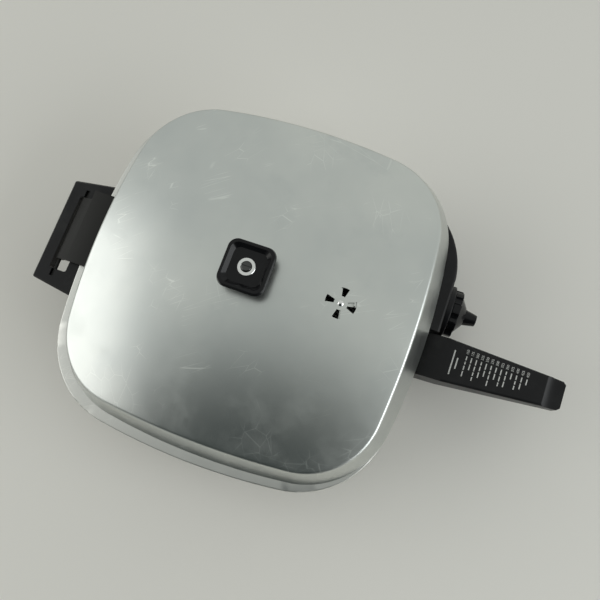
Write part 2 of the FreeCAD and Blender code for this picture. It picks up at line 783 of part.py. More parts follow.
def hinge_plate():
    """The lid's plate: an upright inside the skirt, a level stretch and a curl round the hinge pin."""
    low = plate_under_z()
    top = low + plate_thickness
    wall_x = -(skirt_half_at(top) - sheet) + lid_shift_x
    lean = skirt_slope * plate_upright_height
    curl_radius = hinge_pin_diameter / 2 + curl_thickness
    pin_x, pin_z = hinge_pin_x, hinge_pin_z
    inner_x = wall_x + plate_thickness + plate_backing
    strip = profile(
        (inner_x, low), (plate_flat_end_x, low),
        (pin_x + curl_radius * 0.6, pin_z - curl_radius * 0.8 + plate_thickness * 0.4),
        (pin_x, pin_z + curl_radius), (plate_flat_end_x + 0.8, top), (inner_x, top))
    upright = profile(
        (wall_x, top), (inner_x, low), (inner_x + lean, top + plate_upright_height),
        (wall_x + lean, top + plate_upright_height))
    for face in (strip, upright):
        face.translate(Vector(0, lid_shift_y - plate_half, 0))
    across = Vector(0, 2 * plate_half, 0)
    inside = moved(lid_block(sheet), lid_shift_x, lid_shift_y)
    upright = upright.extrude(across).common(inside.fuse(slab(lid_rim_half, low, lid_rim_z + hem_height)))
    upright = upright.cut(moved(lid_block(0).cut(lid_block(sheet)), lid_shift_x, lid_shift_y))
    at = Vector(pin_x, lid_shift_y - plate_half, pin_z)
    curl = cylinder(2 * curl_radius, 2 * plate_half, at, Y_AXIS)
    over_bar = box((pin_x - curl_radius - 1, helper_y + helper_opening_half - clear_gap, 0),
                   (plate_flat_end_x, lid_shift_y + plate_half + 1, top + 1))
    plate = strip.extrude(across).fuse([upright, curl]).cut(over_bar)
    holes = [cylinder(plate_rivet_diameter, 4 * plate_thickness, start, inward)
             for start, inward in plate_rivet_starts()]
    return plate.cut([cylinder(hinge_pin_diameter, 2 * plate_half, at, Y_AXIS)] + holes)


def plate_rivet_starts():
    """Where each rivet meets the skirt's outer face, and the direction square into the skirt."""
    half = skirt_half_at(plate_rivet_z)
    radius = half + side_bulge
    turn = math.asin(plate_rivet_y / radius)
    starts = []
    for side in (-1, 1):
        out = Vector(-math.cos(turn), side * math.sin(turn), 0)
        at = Vector(side_bulge + lid_shift_x, lid_shift_y, plate_rivet_z) + out * radius
        starts.append((at, (out * -1 - Z_AXIS * skirt_slope).normalize()))
    return starts


def plate_rivets():
    """The two rivets through the skirt and the plate's upright."""
    rivets = []
    for start, inward in plate_rivet_starts():
        head = Part.makeCone(plate_rivet_head_diameter / 2 - plate_rivet_head_height * 0.6,
                             plate_rivet_head_diameter / 2, plate_rivet_head_height,
                             start - inward * plate_rivet_head_height, inward)
        shank = cylinder(plate_rivet_diameter, sheet + plate_thickness + plate_backing, start, inward)
        rivets.append(head.fuse(shank).removeSplitter())
    return Part.makeCompound(rivets)


def hinge_pin():
    """The pin in the plate's curl, whose two ends lie in the helper handle's notches."""
    at = Vector(hinge_pin_x, helper_y - hinge_pin_half, hinge_pin_z)
    return cylinder(hinge_pin_diameter, 2 * hinge_pin_half, at, Y_AXIS)


def helper_handle():
    """The looped helper handle: a frame with bevelled bars, pin notches and a seat for each ear."""
    plan = [(helper_outer_x, -helper_outer_half), (helper_inner_x, -helper_inner_half),
            (helper_inner_x, helper_inner_half), (helper_outer_x, helper_outer_half)]
    body = prism(polygon(plan, helper_bottom_z), helper_depth)
    upright = [e for e in body.Edges if abs(e.tangentAt(e.FirstParameter).z) > 0.99
               and e.Vertexes[0].Point.x < helper_outer_x + 1]
    body = body.makeFillet(helper_corner_radius, upright)
    outer_top = [e for e in body.Edges if all(abs(v.Point.z - helper_top_z) < 1e-6 for v in e.Vertexes)
                 and max(v.Point.x for v in e.Vertexes) < helper_inner_x - 1]
    body = body.makeChamfer(helper_bevel, outer_top)
    window = rounded_rectangle(helper_opening_inner_x - helper_opening_outer_x, 2 * helper_opening_half,
                               helper_corner_radius, helper_bottom_z,
                               (helper_opening_inner_x + helper_opening_outer_x) / 2)
    window = prism(window, helper_depth)
    notch_half = hinge_pin_diameter / 2 + notch_gap
    notch_end = hinge_pin_half + notch_gap
    notches = [box((hinge_pin_x - notch_half, -notch_end, hinge_pin_z),
                   (hinge_pin_x + notch_half, notch_end, helper_top_z)),
               cylinder(2 * notch_half, 2 * notch_end, Vector(hinge_pin_x, -notch_end, hinge_pin_z), Y_AXIS)]
    body = moved(body.cut([window] + notches), y=helper_y)
    seats = [box((ear_reach_x, y - ear_width / 2, helper_bottom_z),
                 (helper_inner_x + 1, y + ear_width / 2, ear_top_z)) for y in ear_middles()]
    screws = [cylinder(helper_screw_diameter, helper_screw_bite, Vector(helper_screw_x, y, ear_top_z))
              for y in ear_middles()]
    return body.cut([pan_outside(0)] + seats + screws)


def helper_screws():
    """The two screws that hold the helper handle down on the pan's ears."""
    z = ear_top_z - ear_thickness
    return Part.makeCompound([
        pan_head_screw(helper_screw_diameter, ear_thickness + helper_screw_bite, helper_screw_head_diameter,
                       helper_screw_head_height, Vector(helper_screw_x, y, z), Z_AXIS) for y in ear_middles()])


def main_handle():
    """The long handle: a rising tapered bar with a sloped root, a hollow belly and a thumb dish."""
    side = profile(
        (boss_face_x, handle_root_top_z - handle_root_depth), (boss_face_x, handle_root_top_z),
        (handle_shoulder_x, handle_shoulder_top_z), (handle_tip_x, handle_tip_top_z),
        (handle_tip_x, handle_tip_top_z - handle_tip_depth), (handle_belly_x, handle_belly_z))
    side.translate(Vector(0, -handle_root_half, 0))
    body = side.extrude(Vector(0, 2 * handle_root_half, 0))
    root_x = handle_shoulder_x
    tip_x = handle_tip_x - handle_tip_chamfer
    half = [(boss_face_x, handle_root_half), (root_x, handle_root_half), (tip_x, handle_tip_half),
            (handle_tip_x, handle_tip_half - handle_tip_chamfer)]
    plan = half + [(x, -y) for x, y in reversed(half)]
    body = body.common(prism(polygon(plan, 0), crown_z))
    body = body.makeFillet(handle_edge_radius, edges_at(
        body, lambda p: p.x > handle_shoulder_x - 1 and abs(p.z - handle_top_at(p.x)) < 1e-3))
    dish = cylinder(2 * thumb_dish_radius, 4 * handle_tip_half,
                    Vector(thumb_dish_x, -2 * handle_tip_half,
                           handle_top_at(thumb_dish_x) + thumb_dish_radius - thumb_dish_depth), Y_AXIS)
    slot = box((boss_face_x - 1, -bracket_half - clear_gap, 0),
               (bracket_tongue_end_x + clear_gap, bracket_half + clear_gap, bracket_tongue_z + bracket_thickness))
    hole = cylinder(handle_screw_diameter, handle_screw_bite,
                    Vector(handle_screw_x, 0, bracket_tongue_z + bracket_thickness))
    return moved(body.cut([dish, slot, hole]), y=handle_y).cut(pan_outside(clear_gap))


def handle_top_at(x):
    """Height of the handle's long top face."""
    slope = (handle_tip_top_z - handle_shoulder_top_z) / (handle_tip_x - handle_shoulder_x)
    return handle_shoulder_top_z + slope * (x - handle_shoulder_x)


def handle_bracket():
    """The bent strip between the pan's boss and the handle: an upright and a tongue."""
    top = bracket_tongue_z + bracket_thickness
    low_y, high_y = handle_y - bracket_half, handle_y + bracket_half
    upright = box((boss_face_x, low_y, bracket_bottom_z), (boss_face_x + bracket_thickness, high_y, top))
    tongue = box((boss_face_x, low_y, bracket_tongue_z), (bracket_tongue_end_x, high_y, top))
    bracket = upright.fuse(tongue).removeSplitter()
    cuts = [cylinder(bracket_screw_diameter, bracket_thickness, Vector(boss_face_x, y, bracket_screw_z), X_AXIS)
            for y in bracket_screw_ys()]
    cuts.append(cylinder(handle_screw_diameter, bracket_thickness,
                         Vector(handle_screw_x, handle_y, bracket_tongue_z)))
    return bracket.cut(cuts)


def bracket_screws():
    """The two screws that hold the bracket on the pan's boss."""
    return Part.makeCompound([
        pan_head_screw(bracket_screw_diameter, bracket_thickness + bracket_screw_bite,
                       bracket_screw_head_diameter, bracket_screw_head_height,
                       Vector(boss_face_x + bracket_thickness, y, bracket_screw_z), X_AXIS * -1)
        for y in bracket_screw_ys()])


def handle_screw():
    """The screw up through the bracket's tongue into the handle."""
    return pan_head_screw(handle_screw_diameter, bracket_thickness + handle_screw_bite,
                          handle_screw_head_diameter, handle_screw_head_height,
                          Vector(handle_screw_x, handle_y, bracket_tongue_z), Z_AXIS)


def housing_plan(inset, z):
    """The control housing seen from above, from deep inside the pan to its outer face, as a wire."""
    face_x, end_x = housing_face_x - inset, housing_end_x - inset
    start_y, end_y = housing_start_y + inset, housing_end_y - inset
    bend_y = housing_face_end_y
    chord = Vector(end_x - face_x, end_y - bend_y, 0)
    out = Vector(chord.y, -chord.x, 0).normalize()
    middle = Vector((face_x + end_x) / 2, (bend_y + end_y) / 2, z) + out * housing_bulge
    corners = [Vector(core_half, end_y, z), Vector(core_half, start_y, z), Vector(face_x, start_y, z),
               Vector(face_x, bend_y, z)]
    end = Vector(end_x, end_y, z)
    edges = [Part.makeLine(one, two) for one, two in zip(corners, corners[1:])]
    return Part.Wire(edges + [Part.Arc(corners[-1], middle, end).toShape(), Part.makeLine(end, corners[0])])


def post_places():
    """Where the two posts for the cover's screws stand, from above."""
    inside_x = housing_face_x - housing_wall
    inlet_low_y = inlet_y - inlet_width / 2 - inlet_wall
    inlet_high_y = inlet_y + inlet_width / 2 + inlet_wall
    return [(inside_x - post_diameter * 0.4, (dial_y + bush_nut_size / 2 + inlet_low_y) / 2),
            (inside_x - post_diameter * 1.6, inlet_high_y + post_diameter)]


def control_housing():
    """The moulded housing of the control: open towards the pan and below, with a bezel and posts."""
    height = housing_top_z - housing_bottom_z
    block = prism(housing_plan(0, housing_bottom_z), height)
    brim = [e for e in block.Edges if all(abs(v.Point.z - housing_top_z) < 1e-6 for v in e.Vertexes)
            and max(v.Point.x for v in e.Vertexes) > housing_end_x - 1
            and min(v.Point.x for v in e.Vertexes) > core_half + 1]
    block = block.makeFillet(housing_edge_radius, brim)
    room = prism(housing_plan(housing_wall, housing_bottom_z), height - housing_wall)
    ceiling = housing_top_z - housing_wall
    bezel = cylinder(bezel_diameter, housing_wall + bezel_height,
                     Vector(housing_face_x - housing_wall, dial_y, dial_z), X_AXIS)
    bezel = bezel.makeFillet(bezel_edge, edges_at(bezel, lambda p: p.x > bezel_face_x - 1e-6))
    lug_top = rim_z - lug_top_drop
    posts = [cylinder(post_diameter, ceiling - cover_top_z(), Vector(x, y, cover_top_z()))
             for x, y in post_places()]
    posts += [cylinder(lug_width * 0.8, ceiling - lug_top, Vector(x, y, lug_top))
              for x, y in lug_screw_places()]
    shell = block.cut(room).fuse([bezel] + posts)
    cuts = [pan_outside(0),
            cylinder(bush_diameter, housing_wall + bezel_height,
                     Vector(housing_face_x - housing_wall, dial_y, dial_z), X_AXIS),
            inlet_block(0)]
    cuts += [cylinder(cover_screw_diameter, cover_screw_bite, Vector(x, y, cover_top_z()))
             for x, y in post_places()]
    cuts += [cylinder(lug_screw_diameter, lug_screw_bite, Vector(x, y, lug_top))
             for x, y in lug_screw_places()]
    return shell.cut(cuts)


def cover_top_z():
    """Upper face of the housing's bottom cover."""
    return housing_bottom_z + cover_thickness


def housing_cover():
    """The plate that closes the housing from below."""
    plate = prism(housing_plan(housing_wall + cover_gap, housing_bottom_z), cover_thickness)
    cuts = [cylinder(cover_screw_diameter, cover_thickness, Vector(x, y, housing_bottom_z))
            for x, y in post_places()]
    cuts.append(box((0, 0, housing_bottom_z - 1), (cavity_floor_half - under_radius, pan_half, cover_top_z() + 1)))
    cuts.append(pan_outside(clear_gap))
    return plate.cut(cuts)


def cover_screws():
    """The two screws that hold the cover."""
    return Part.makeCompound([
        pan_head_screw(cover_screw_diameter, cover_thickness + cover_screw_bite, cover_screw_head_diameter,
                       cover_screw_head_height, Vector(x, y, housing_bottom_z), Z_AXIS)
        for x, y in post_places()])


def housing_screws():
    """The two screws up through the pan's lugs into the housing."""
    z = rim_z - lug_top_drop - lug_thickness
    return Part.makeCompound([
        pan_head_screw(lug_screw_diameter, lug_thickness + lug_screw_bite, lug_screw_head_diameter,
                       lug_screw_head_height, Vector(x, y, z), Z_AXIS) for x, y in lug_screw_places()])


def control_dial():
    """The control knob: a skirt with finger hollows, a cone shoulder and a tapered grip."""
    at = Vector(dial_back_x, dial_y, dial_z)
    skirt = cylinder(dial_skirt_diameter, dial_skirt_thickness, at, X_AXIS)
    hollows = []
    for k in range(dial_lobe_count):
        turn = math.radians(360 / dial_lobe_count * (k + 0.5))
        y, z = dial_lobe_offset * math.cos(turn), dial_lobe_offset * math.sin(turn)
        hollows.append(cylinder(2 * dial_lobe_radius, dial_skirt_thickness, at + Vector(0, y, z), X_AXIS))
    skirt = skirt.cut(hollows)
    skirt = skirt.makeFillet(dial_edge_radius, edges_at(
        skirt, lambda p: p.x > dial_back_x + dial_skirt_thickness - 1e-6))
    shoulder_x = dial_back_x + dial_skirt_thickness
    shoulder_base = dial_lobe_offset - dial_lobe_radius - dial_edge_radius
    shoulder = Part.makeCone(shoulder_base, dial_shoulder_diameter / 2, dial_shoulder_length,
                             Vector(shoulder_x, dial_y, dial_z), X_AXIS)
    grip = Part.makeCone(dial_grip_base_diameter / 2, dial_grip_tip_diameter / 2, dial_grip_length,
                         Vector(shoulder_x + dial_shoulder_length, dial_y, dial_z), X_AXIS)
    tip = shoulder_x + dial_shoulder_length + dial_grip_length
    grip = grip.makeFillet(dial_edge_radius, edges_at(grip, lambda p: p.x > tip - 1e-6))
    body = joined([skirt, shoulder, grip])
    return body.cut(shaft_form(dial_back_x, dial_back_x + shaft_knob_depth))


def shaft_form(start_x, end_x):
    """The shaft's D section between two places along its axis."""
    bar = cylinder(shaft_diameter, end_x - start_x, Vector(start_x, dial_y, dial_z), X_AXIS)
    flat_z = dial_z + shaft_diameter / 2 - shaft_flat
    return bar.cut(box((bezel_face_x, dial_y - shaft_diameter, flat_z),
                       (dial_back_x + shaft_knob_depth + 1, dial_y + shaft_diameter, flat_z + shaft_diameter)))


def dial_shaft():
    """The shaft from the thermostat's cam, through the bush, into the knob."""
    return shaft_form(shaft_back_x, dial_back_x + shaft_knob_depth)


def shaft_bush():
    """The flanged bush in the housing's front wall."""
    inside_x = housing_face_x - housing_wall
    start_x = inside_x - bush_nut_thickness - 1.0
    body = cylinder(bush_diameter, bezel_face_x - start_x, Vector(start_x, dial_y, dial_z), X_AXIS)
    return body.cut(cylinder(shaft_diameter + 2 * running_gap, bezel_face_x - start_x,
                             Vector(start_x, dial_y, dial_z), X_AXIS))


def bush_nut():
    """The nut that clamps the bush and the thermostat's carrier inside the housing."""
    inside_x = housing_face_x - housing_wall
    return hexagon(bush_nut_size, bush_diameter, bush_nut_thickness,
                   Vector(inside_x - bush_nut_thickness, dial_y, dial_z), X_AXIS)


def cam():
    """The off-centre cam on the shaft that bears on the upper blade."""
    at = Vector(shaft_back_x, dial_y, dial_z - cam_eccentricity)
    return cylinder(cam_diameter, cam_thickness, at, X_AXIS).cut(
        cylinder(shaft_diameter, cam_thickness, Vector(shaft_back_x, dial_y, dial_z), X_AXIS))


def inlet_block(wall):
    """The inlet's outer form, or the room inside its walls."""
    face_x = housing_face_x
    half_y, half_z = inlet_width / 2 + inlet_wall - wall, inlet_height / 2 + inlet_wall - wall
    back = inlet_back_thickness if wall else 0
    return box((face_x - inlet_depth - inlet_back_thickness + back, inlet_y - half_y, inlet_z - half_z),
               (face_x, inlet_y + half_y, inlet_z + half_z))


def inlet_shroud():
    """The socket that takes the lead's connector."""
    housing = prism(housing_plan(0, housing_bottom_z), housing_top_z - housing_bottom_z)
    body = inlet_block(0).common(housing).cut(inlet_block(inlet_wall))
    return body.cut([cylinder(inlet_pin_diameter, inlet_depth + inlet_back_thickness, at, X_AXIS)
                     for at in inlet_pin_starts()])


def inlet_pin_starts():
    """The back ends of the inlet's two pins."""
    back_x = housing_face_x - inlet_depth - inlet_back_thickness - inlet_pin_tail
    return [Vector(back_x, inlet_y, inlet_z + side * inlet_pin_spacing / 2) for side in (-1, 1)]


def inlet_pins():
    """The two contact pins of the inlet."""
    length = inlet_depth + inlet_back_thickness + inlet_pin_tail - inlet_pin_front
    pins = []
    for at in inlet_pin_starts():
        pin = cylinder(inlet_pin_diameter, length, at, X_AXIS)
        front_x = at.x + length
        pins.append(pin.makeFillet(inlet_pin_diameter * 0.3, [
            e for e in pin.Edges if all(v.Point.x > front_x - 1e-6 for v in e.Vertexes)]))
    return Part.makeCompound(pins)


def thermostat_carrier():
    """The plate that hangs from the bush and carries the blades' stack."""
    low_z, high_z = blade_z() - blade_gap - blade_thickness - stack_foot_height, dial_z + bush_nut_size / 2
    front_x = housing_face_x - housing_wall - bush_nut_thickness
    plate = box((front_x - carrier_thickness, stack_y - stack_size / 2, low_z),
                (front_x, dial_y + bush_nut_size / 2, high_z))
    shelf = box((carrier_x - stack_size / 2, stack_y - stack_size / 2, low_z),
                (front_x, stack_y + stack_size / 2, low_z + carrier_thickness))
    return plate.fuse(shelf).removeSplitter().cut(
        cylinder(bush_diameter, carrier_thickness, Vector(front_x - carrier_thickness, dial_y, dial_z), X_AXIS))


def blade_z():
    """Upper face of the upper blade, under the cam's lowest reach."""
    return dial_z - cam_diameter / 2 - cam_eccentricity - cam_blade_gap


def blade(top_z, length_end_y):
    """A spring blade from the stack towards the cam, with a contact at its end."""
    return box((carrier_x - blade_width / 2, stack_y, top_z - blade_thickness),
               (carrier_x + blade_width / 2, length_end_y, top_z))


def cam_blade():
    """The upper blade, which the cam presses, with the contact under its end."""
    strip = blade(blade_z(), blade_end_y)
    contact = cylinder(contact_diameter, blade_gap / 2 - cam_blade_gap,
                       Vector(carrier_x, blade_end_y - contact_diameter / 2,
                              blade_z() - blade_thickness - blade_gap / 2 + cam_blade_gap))
    return strip.fuse(contact)


def contact_blade():
    """The lower blade, with the contact on its end."""
    strip = blade(blade_z() - blade_gap - blade_thickness, blade_end_y)
    contact = cylinder(contact_diameter, blade_gap / 2 - cam_blade_gap,
                       Vector(carrier_x, blade_end_y - contact_diameter / 2,
                              blade_z() - blade_gap - blade_thickness))
    return strip.fuse(contact)


def blade_stack():
    """The ceramic blocks that hold the two blades apart on the carrier's shelf."""
    low_z = blade_z() - blade_gap - blade_thickness - stack_foot_height + carrier_thickness
    body = box((carrier_x - stack_size / 2, stack_y - stack_size / 2, low_z),
               (carrier_x + stack_size / 2, stack_y + stack_size / 2, blade_z() + blade_thickness))
    slots = [blade(blade_z(), blade_end_y), blade(blade_z() - blade_gap - blade_thickness, blade_end_y)]
    return body.cut(slots)


PIECES = {
    "pan": pan,
    "heating_element": heating_element,
    "foot_screws": foot_screws,
    "main_handle": main_handle,
    "handle_bracket": handle_bracket,
    "bracket_screws": bracket_screws,
    "handle_screw": handle_screw,
    "helper_handle": helper_handle,
    "helper_screws": helper_screws,
    "control_housing": control_housing,
    "housing_cover": housing_cover,
    "housing_screws": housing_screws,
    "cover_screws": cover_screws,
    "control_dial": control_dial,
    "dial_shaft": dial_shaft,
    "shaft_bush": shaft_bush,
    "bush_nut": bush_nut,
    "cam": cam,
    "thermostat_carrier": thermostat_carrier,
    "blade_stack": blade_stack,
    "cam_blade": cam_blade,
    "contact_blade": contact_blade,
    "inlet_shroud": inlet_shroud,
    "inlet_pins": inlet_pins,
    "hinge_plate": hinge_plate,
    "plate_rivets": plate_rivets,
    "hinge_pin": hinge_pin,
}
ON_LID = {
    "lid_shell": lid_shell,
    "lid_knob": lid_knob,
    "knob_ring": knob_ring,
    "knob_screw": knob_screw,
    "knob_washer": knob_washer,
    "knob_nut": knob_nut,
    "vent_shutter": vent_shutter,
    "vent_rivet": vent_rivet,
    "vent_spring": vent_spring,
}
FOOT_NAMES = ("foot_back_left", "foot_front_left", "foot_back_right", "foot_front_right")


def all_pieces():
    """Every piece by name, about the pan's middle."""
    pieces = {name: make() for name, make in PIECES.items()}
    for name, make in ON_LID.items():
        pieces[name] = moved(make(), lid_shift_x, lid_shift_y)
    for name, (x, y) in zip(FOOT_NAMES, foot_places()):
        pieces[name] = foot(x, y)
    return pieces


def main():
    """Write each piece to its own file, with the origin on the table under the skillet's middle."""
    os.makedirs("parts", exist_ok=True)
    for name, shape in all_pieces().items():
        moved(shape, -middle_x, -middle_y).exportStep("parts/" + name + ".step")
        print(name, len(shape.Solids), round(shape.Volume), shape.isValid())


if __name__ == "__main__":
    main()
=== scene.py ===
"""Looks of the electric skillet: the worn aluminium lid and pan, the black mouldings and their prints."""
import json
import logging
import math
from dataclasses import dataclass, field
from enum import Enum
from typing import Optional, Sequence, Union

import bmesh
import bpy
import numpy as np
from mathutils import Matrix, Vector

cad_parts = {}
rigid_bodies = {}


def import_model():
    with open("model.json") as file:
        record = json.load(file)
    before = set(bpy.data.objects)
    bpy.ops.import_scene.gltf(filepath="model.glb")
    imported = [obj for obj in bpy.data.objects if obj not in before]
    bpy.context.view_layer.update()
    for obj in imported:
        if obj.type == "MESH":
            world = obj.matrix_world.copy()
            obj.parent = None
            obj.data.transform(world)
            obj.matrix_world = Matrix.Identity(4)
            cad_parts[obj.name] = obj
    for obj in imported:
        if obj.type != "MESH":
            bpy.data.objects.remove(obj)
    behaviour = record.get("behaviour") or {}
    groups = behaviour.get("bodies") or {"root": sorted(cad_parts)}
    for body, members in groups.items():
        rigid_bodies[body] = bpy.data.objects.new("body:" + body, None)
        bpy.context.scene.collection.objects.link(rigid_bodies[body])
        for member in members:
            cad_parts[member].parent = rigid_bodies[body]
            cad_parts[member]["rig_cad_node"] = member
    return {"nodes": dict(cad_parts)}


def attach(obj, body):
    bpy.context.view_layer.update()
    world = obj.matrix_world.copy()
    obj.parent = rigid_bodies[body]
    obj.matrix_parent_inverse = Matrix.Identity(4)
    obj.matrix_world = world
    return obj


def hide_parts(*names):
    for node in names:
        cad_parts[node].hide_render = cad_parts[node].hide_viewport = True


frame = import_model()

MM = 0.001
QUARTER_TURN = math.pi / 2
PAN_MIDDLE_X = 38.5      # how far the pan's middle lies from the origin, toward the helper handle
WELD_REACH = 0.000004    # metres within which a CAD node's loose corners are one point
log = logging.getLogger("skillet")

Number = Union[float, "Value"]
Colour = tuple[float, float, float]
Given = Union[float, Sequence[float], "Value", bpy.types.NodeSocket]


class Value:
    """A number that varies over a surface; its operators add the nodes that work it out."""

    def __init__(self, maker: "NodeMaker", socket: bpy.types.NodeSocket) -> None:
        """Keep the maker and the socket that the number comes out of."""
        self.maker = maker
        self.socket = socket

    def _math(self, operation: str, first: Number, second: Number) -> "Value":
        """Add one math node.

        Args:
            operation: the node's operation.
            first: its first value.
            second: its second value.

        Returns:
            The node's result.
        """
        return self.maker.value("ShaderNodeMath", {"operation": operation}, {0: first, 1: second})

    def __add__(self, other: Number) -> "Value":
        """The sum."""
        return self._math("ADD", self, other)

    def __radd__(self, other: Number) -> "Value":
        """The sum, from the right."""
        return self._math("ADD", other, self)

    def __sub__(self, other: Number) -> "Value":
        """The difference."""
        return self._math("SUBTRACT", self, other)

    def __rsub__(self, other: Number) -> "Value":
        """The difference, from the right."""
        return self._math("SUBTRACT", other, self)

    def __mul__(self, other: Number) -> "Value":
        """The product."""
        return self._math("MULTIPLY", self, other)

    def __rmul__(self, other: Number) -> "Value":
        """The product, from the right."""
        return self._math("MULTIPLY", other, self)

    def lowest(self, other: Number) -> "Value":
        """The smaller of the two."""
        return self._math("MINIMUM", self, other)

    def highest(self, other: Number) -> "Value":
        """The larger of the two."""
        return self._math("MAXIMUM", self, other)

    def ramp(self, low: float, high: float, start: float = 0.0, end: float = 1.0) -> "Value":
        """A smooth step from start to end while this goes from low to high.

        Args:
            low: where the step starts.
            high: where it ends.
            start: its value below low.
            end: its value above high.

        Returns:
            The stepped value.
        """
        settings = {"interpolation_type": "SMOOTHSTEP"}
        return self.maker.value("ShaderNodeMapRange", settings, {0: self, 1: low, 2: high, 3: start, 4: end})


class NodeMaker:
    """One node tree under construction; every node in it comes from one method."""

    def __init__(self, tree: bpy.types.NodeTree) -> None:
        """Keep the tree and empty it."""
        self.tree = tree
        self.tree.nodes.clear()

    def fill(self, socket: bpy.types.NodeSocket, given: Given) -> None:
        """Link a socket, or set it.

        Args:
            socket: the socket that is filled.
            given: a Value or a socket, which is linked to it, or a number, a vector or a colour.
        """
        if isinstance(given, Value):
            given = given.socket
        if isinstance(given, bpy.types.NodeSocket):
            self.tree.links.new(given, socket)
        else:
            socket.default_value = (*given, 1.0) if socket.type == "RGBA" else given

    def node(self, kind: str, settings: Optional[dict[str, object]] = None,
             inputs: Optional[dict[Union[int, str], Given]] = None) -> bpy.types.Node:
        """Add a node.

        Args:
            kind: the node's type.
            settings: its settings, set before its sockets.
            inputs: socket name or number, to what fills it.

        Returns:
            The node.
        """
        node = self.tree.nodes.new(kind)
        for key, setting in (settings or {}).items():
            setattr(node, key, setting)
        for key, given in (inputs or {}).items():
            self.fill(node.inputs[key], given)
        return node

    def value(self, kind: str, settings: Optional[dict[str, object]] = None,
              inputs: Optional[dict[Union[int, str], Given]] = None, output: Union[int, str] = 0) -> Value:
        """Add a node and take one of its outputs.

        Args:
            kind: the node's type.
            settings: its settings.
            inputs: socket name or number, to what fills it.
            output: name or number of the output.

        Returns:
            The output as a Value.
        """
        return Value(self, self.node(kind, settings, inputs).outputs[output])

    def mix(self, factor: Number, first: Given, second: Given) -> bpy.types.NodeSocket:
        """A colour between two colours.

        Args:
            factor: the share of the second colour, from 0 to 1.
            first: the colour at 0.
            second: the colour at 1.

        Returns:
            The mixed colour's socket.
        """
        return self.node("ShaderNodeMix", {"data_type": "RGBA"}, {0: factor, 6: first, 7: second}).outputs[2]


class MaterialMaker(NodeMaker):
    """One material under construction: its node tree, its coordinates and its surface shader."""

    def __init__(self, name: str) -> None:
        """Start a material of that name with one surface shader."""
        self.material = bpy.data.materials.new(name)
        self.material.use_nodes = True
        super().__init__(self.material.node_tree)
        self.shader = self.node("ShaderNodeBsdfPrincipled")
        self.node("ShaderNodeOutputMaterial", None, {"Surface": self.shader.outputs[0]})
        self.place = self.node("ShaderNodeTexCoord").outputs["Object"]

    def stretched(self, turn: Sequence[float], scale: Sequence[float]) -> bpy.types.NodeSocket:
        """The object's coordinates, turned and then scaled along each axis.

        Args:
            turn: the angles about X, Y and Z in radians.
            scale: the scale along X, Y and Z.

        Returns:
            The coordinates' socket.
        """
        turned = self.node("ShaderNodeVectorRotate", {"rotation_type": "EULER_XYZ"},
                           {"Vector": self.place, "Rotation": turn})
        return self.node("ShaderNodeVectorMath", {"operation": "MULTIPLY"},
                         {0: turned.outputs[0], 1: scale}).outputs[0]

    def noise(self, scale: float, detail: float = 3.0, roughness: float = 0.55) -> Value:
        """Soft noise.

        Args:
            scale: cells per metre.
            detail: how many finer layers it has.
            roughness: how strong the finer layers are.

        Returns:
            The noise, from 0 to 1.
        """
        return self.value("ShaderNodeTexNoise", None, {"Vector": self.place, "Scale": scale,
                                                       "Detail": detail, "Roughness": roughness})

    def bump(self, height: Value, depth: float) -> bpy.types.NodeSocket:
        """A normal from a height of 0 to 1 that stands for a depth in metres."""
        node = self.node("ShaderNodeBump", None, {"Height": height, "Distance": depth, "Strength": 1.0})
        return node.outputs[0]

    def surface(self, **inputs: Given) -> bpy.types.Material:
        """Fill the shader's sockets.

        Args:
            inputs: socket names with underscores for spaces, and what fills each.

        Returns:
            The material.
        """
        for key, given in inputs.items():
            self.fill(self.shader.inputs[key.replace("_", " ")], given)
        return self.material


@dataclass(frozen=True)
class Patches:
    """Soft patches: a noise of some cells per metre, stepped from 0 where it is low to 1 where it is high."""

    scale: float
    detail: float
    roughness: float
    low: float
    high: float

    def on(self, maker: MaterialMaker) -> Value:
        """The patches of a material, from 0 to 1."""
        return maker.noise(self.scale, self.detail, self.roughness).ramp(self.low, self.high)


@dataclass(frozen=True)
class Scratches:
    """Sparse straight scratches in one direction.

    angle is the direction in radians, spacing the cells per metre across the scratches, thin the half
    width of one as a share of a cell, mask_scale the cells per metre of the noise that breaks them up,
    and amount how much of them is kept, from 0 to 1.
    """

    angle: float
    spacing: float
    thin: float
    mask_scale: float
    amount: float
    squeeze: float = 0.045
    lean: tuple[float, float] = (0.31, 0.17)
    mask_detail: float = 2.0
    mask_edge: float = 0.04

    def on(self, maker: MaterialMaker) -> Value:
        """The scratches of a material.

        The coordinates are turned by the angle, and by shares of it about X and Y, and squeezed along
        one axis, so that the borders between cells become long thin lines. A noise keeps some stretches.

        Args:
            maker: the material under construction.

        Returns:
            1 in a scratch and 0 elsewhere.
        """
        turn = (self.angle * self.lean[0], self.angle * self.lean[1], self.angle)
        edge = maker.value("ShaderNodeTexVoronoi", {"feature": "DISTANCE_TO_EDGE"},
                           {"Vector": maker.stretched(turn, (self.squeeze, 1.0, 1.0)), "Scale": self.spacing},
                           "Distance")
        step = 1.0 - self.amount
        mask = maker.noise(self.mask_scale, self.mask_detail)
        keep = mask.ramp(step - self.mask_edge, step + self.mask_edge)
        return edge.ramp(0.0, self.thin, 1.0, 0.0) * keep


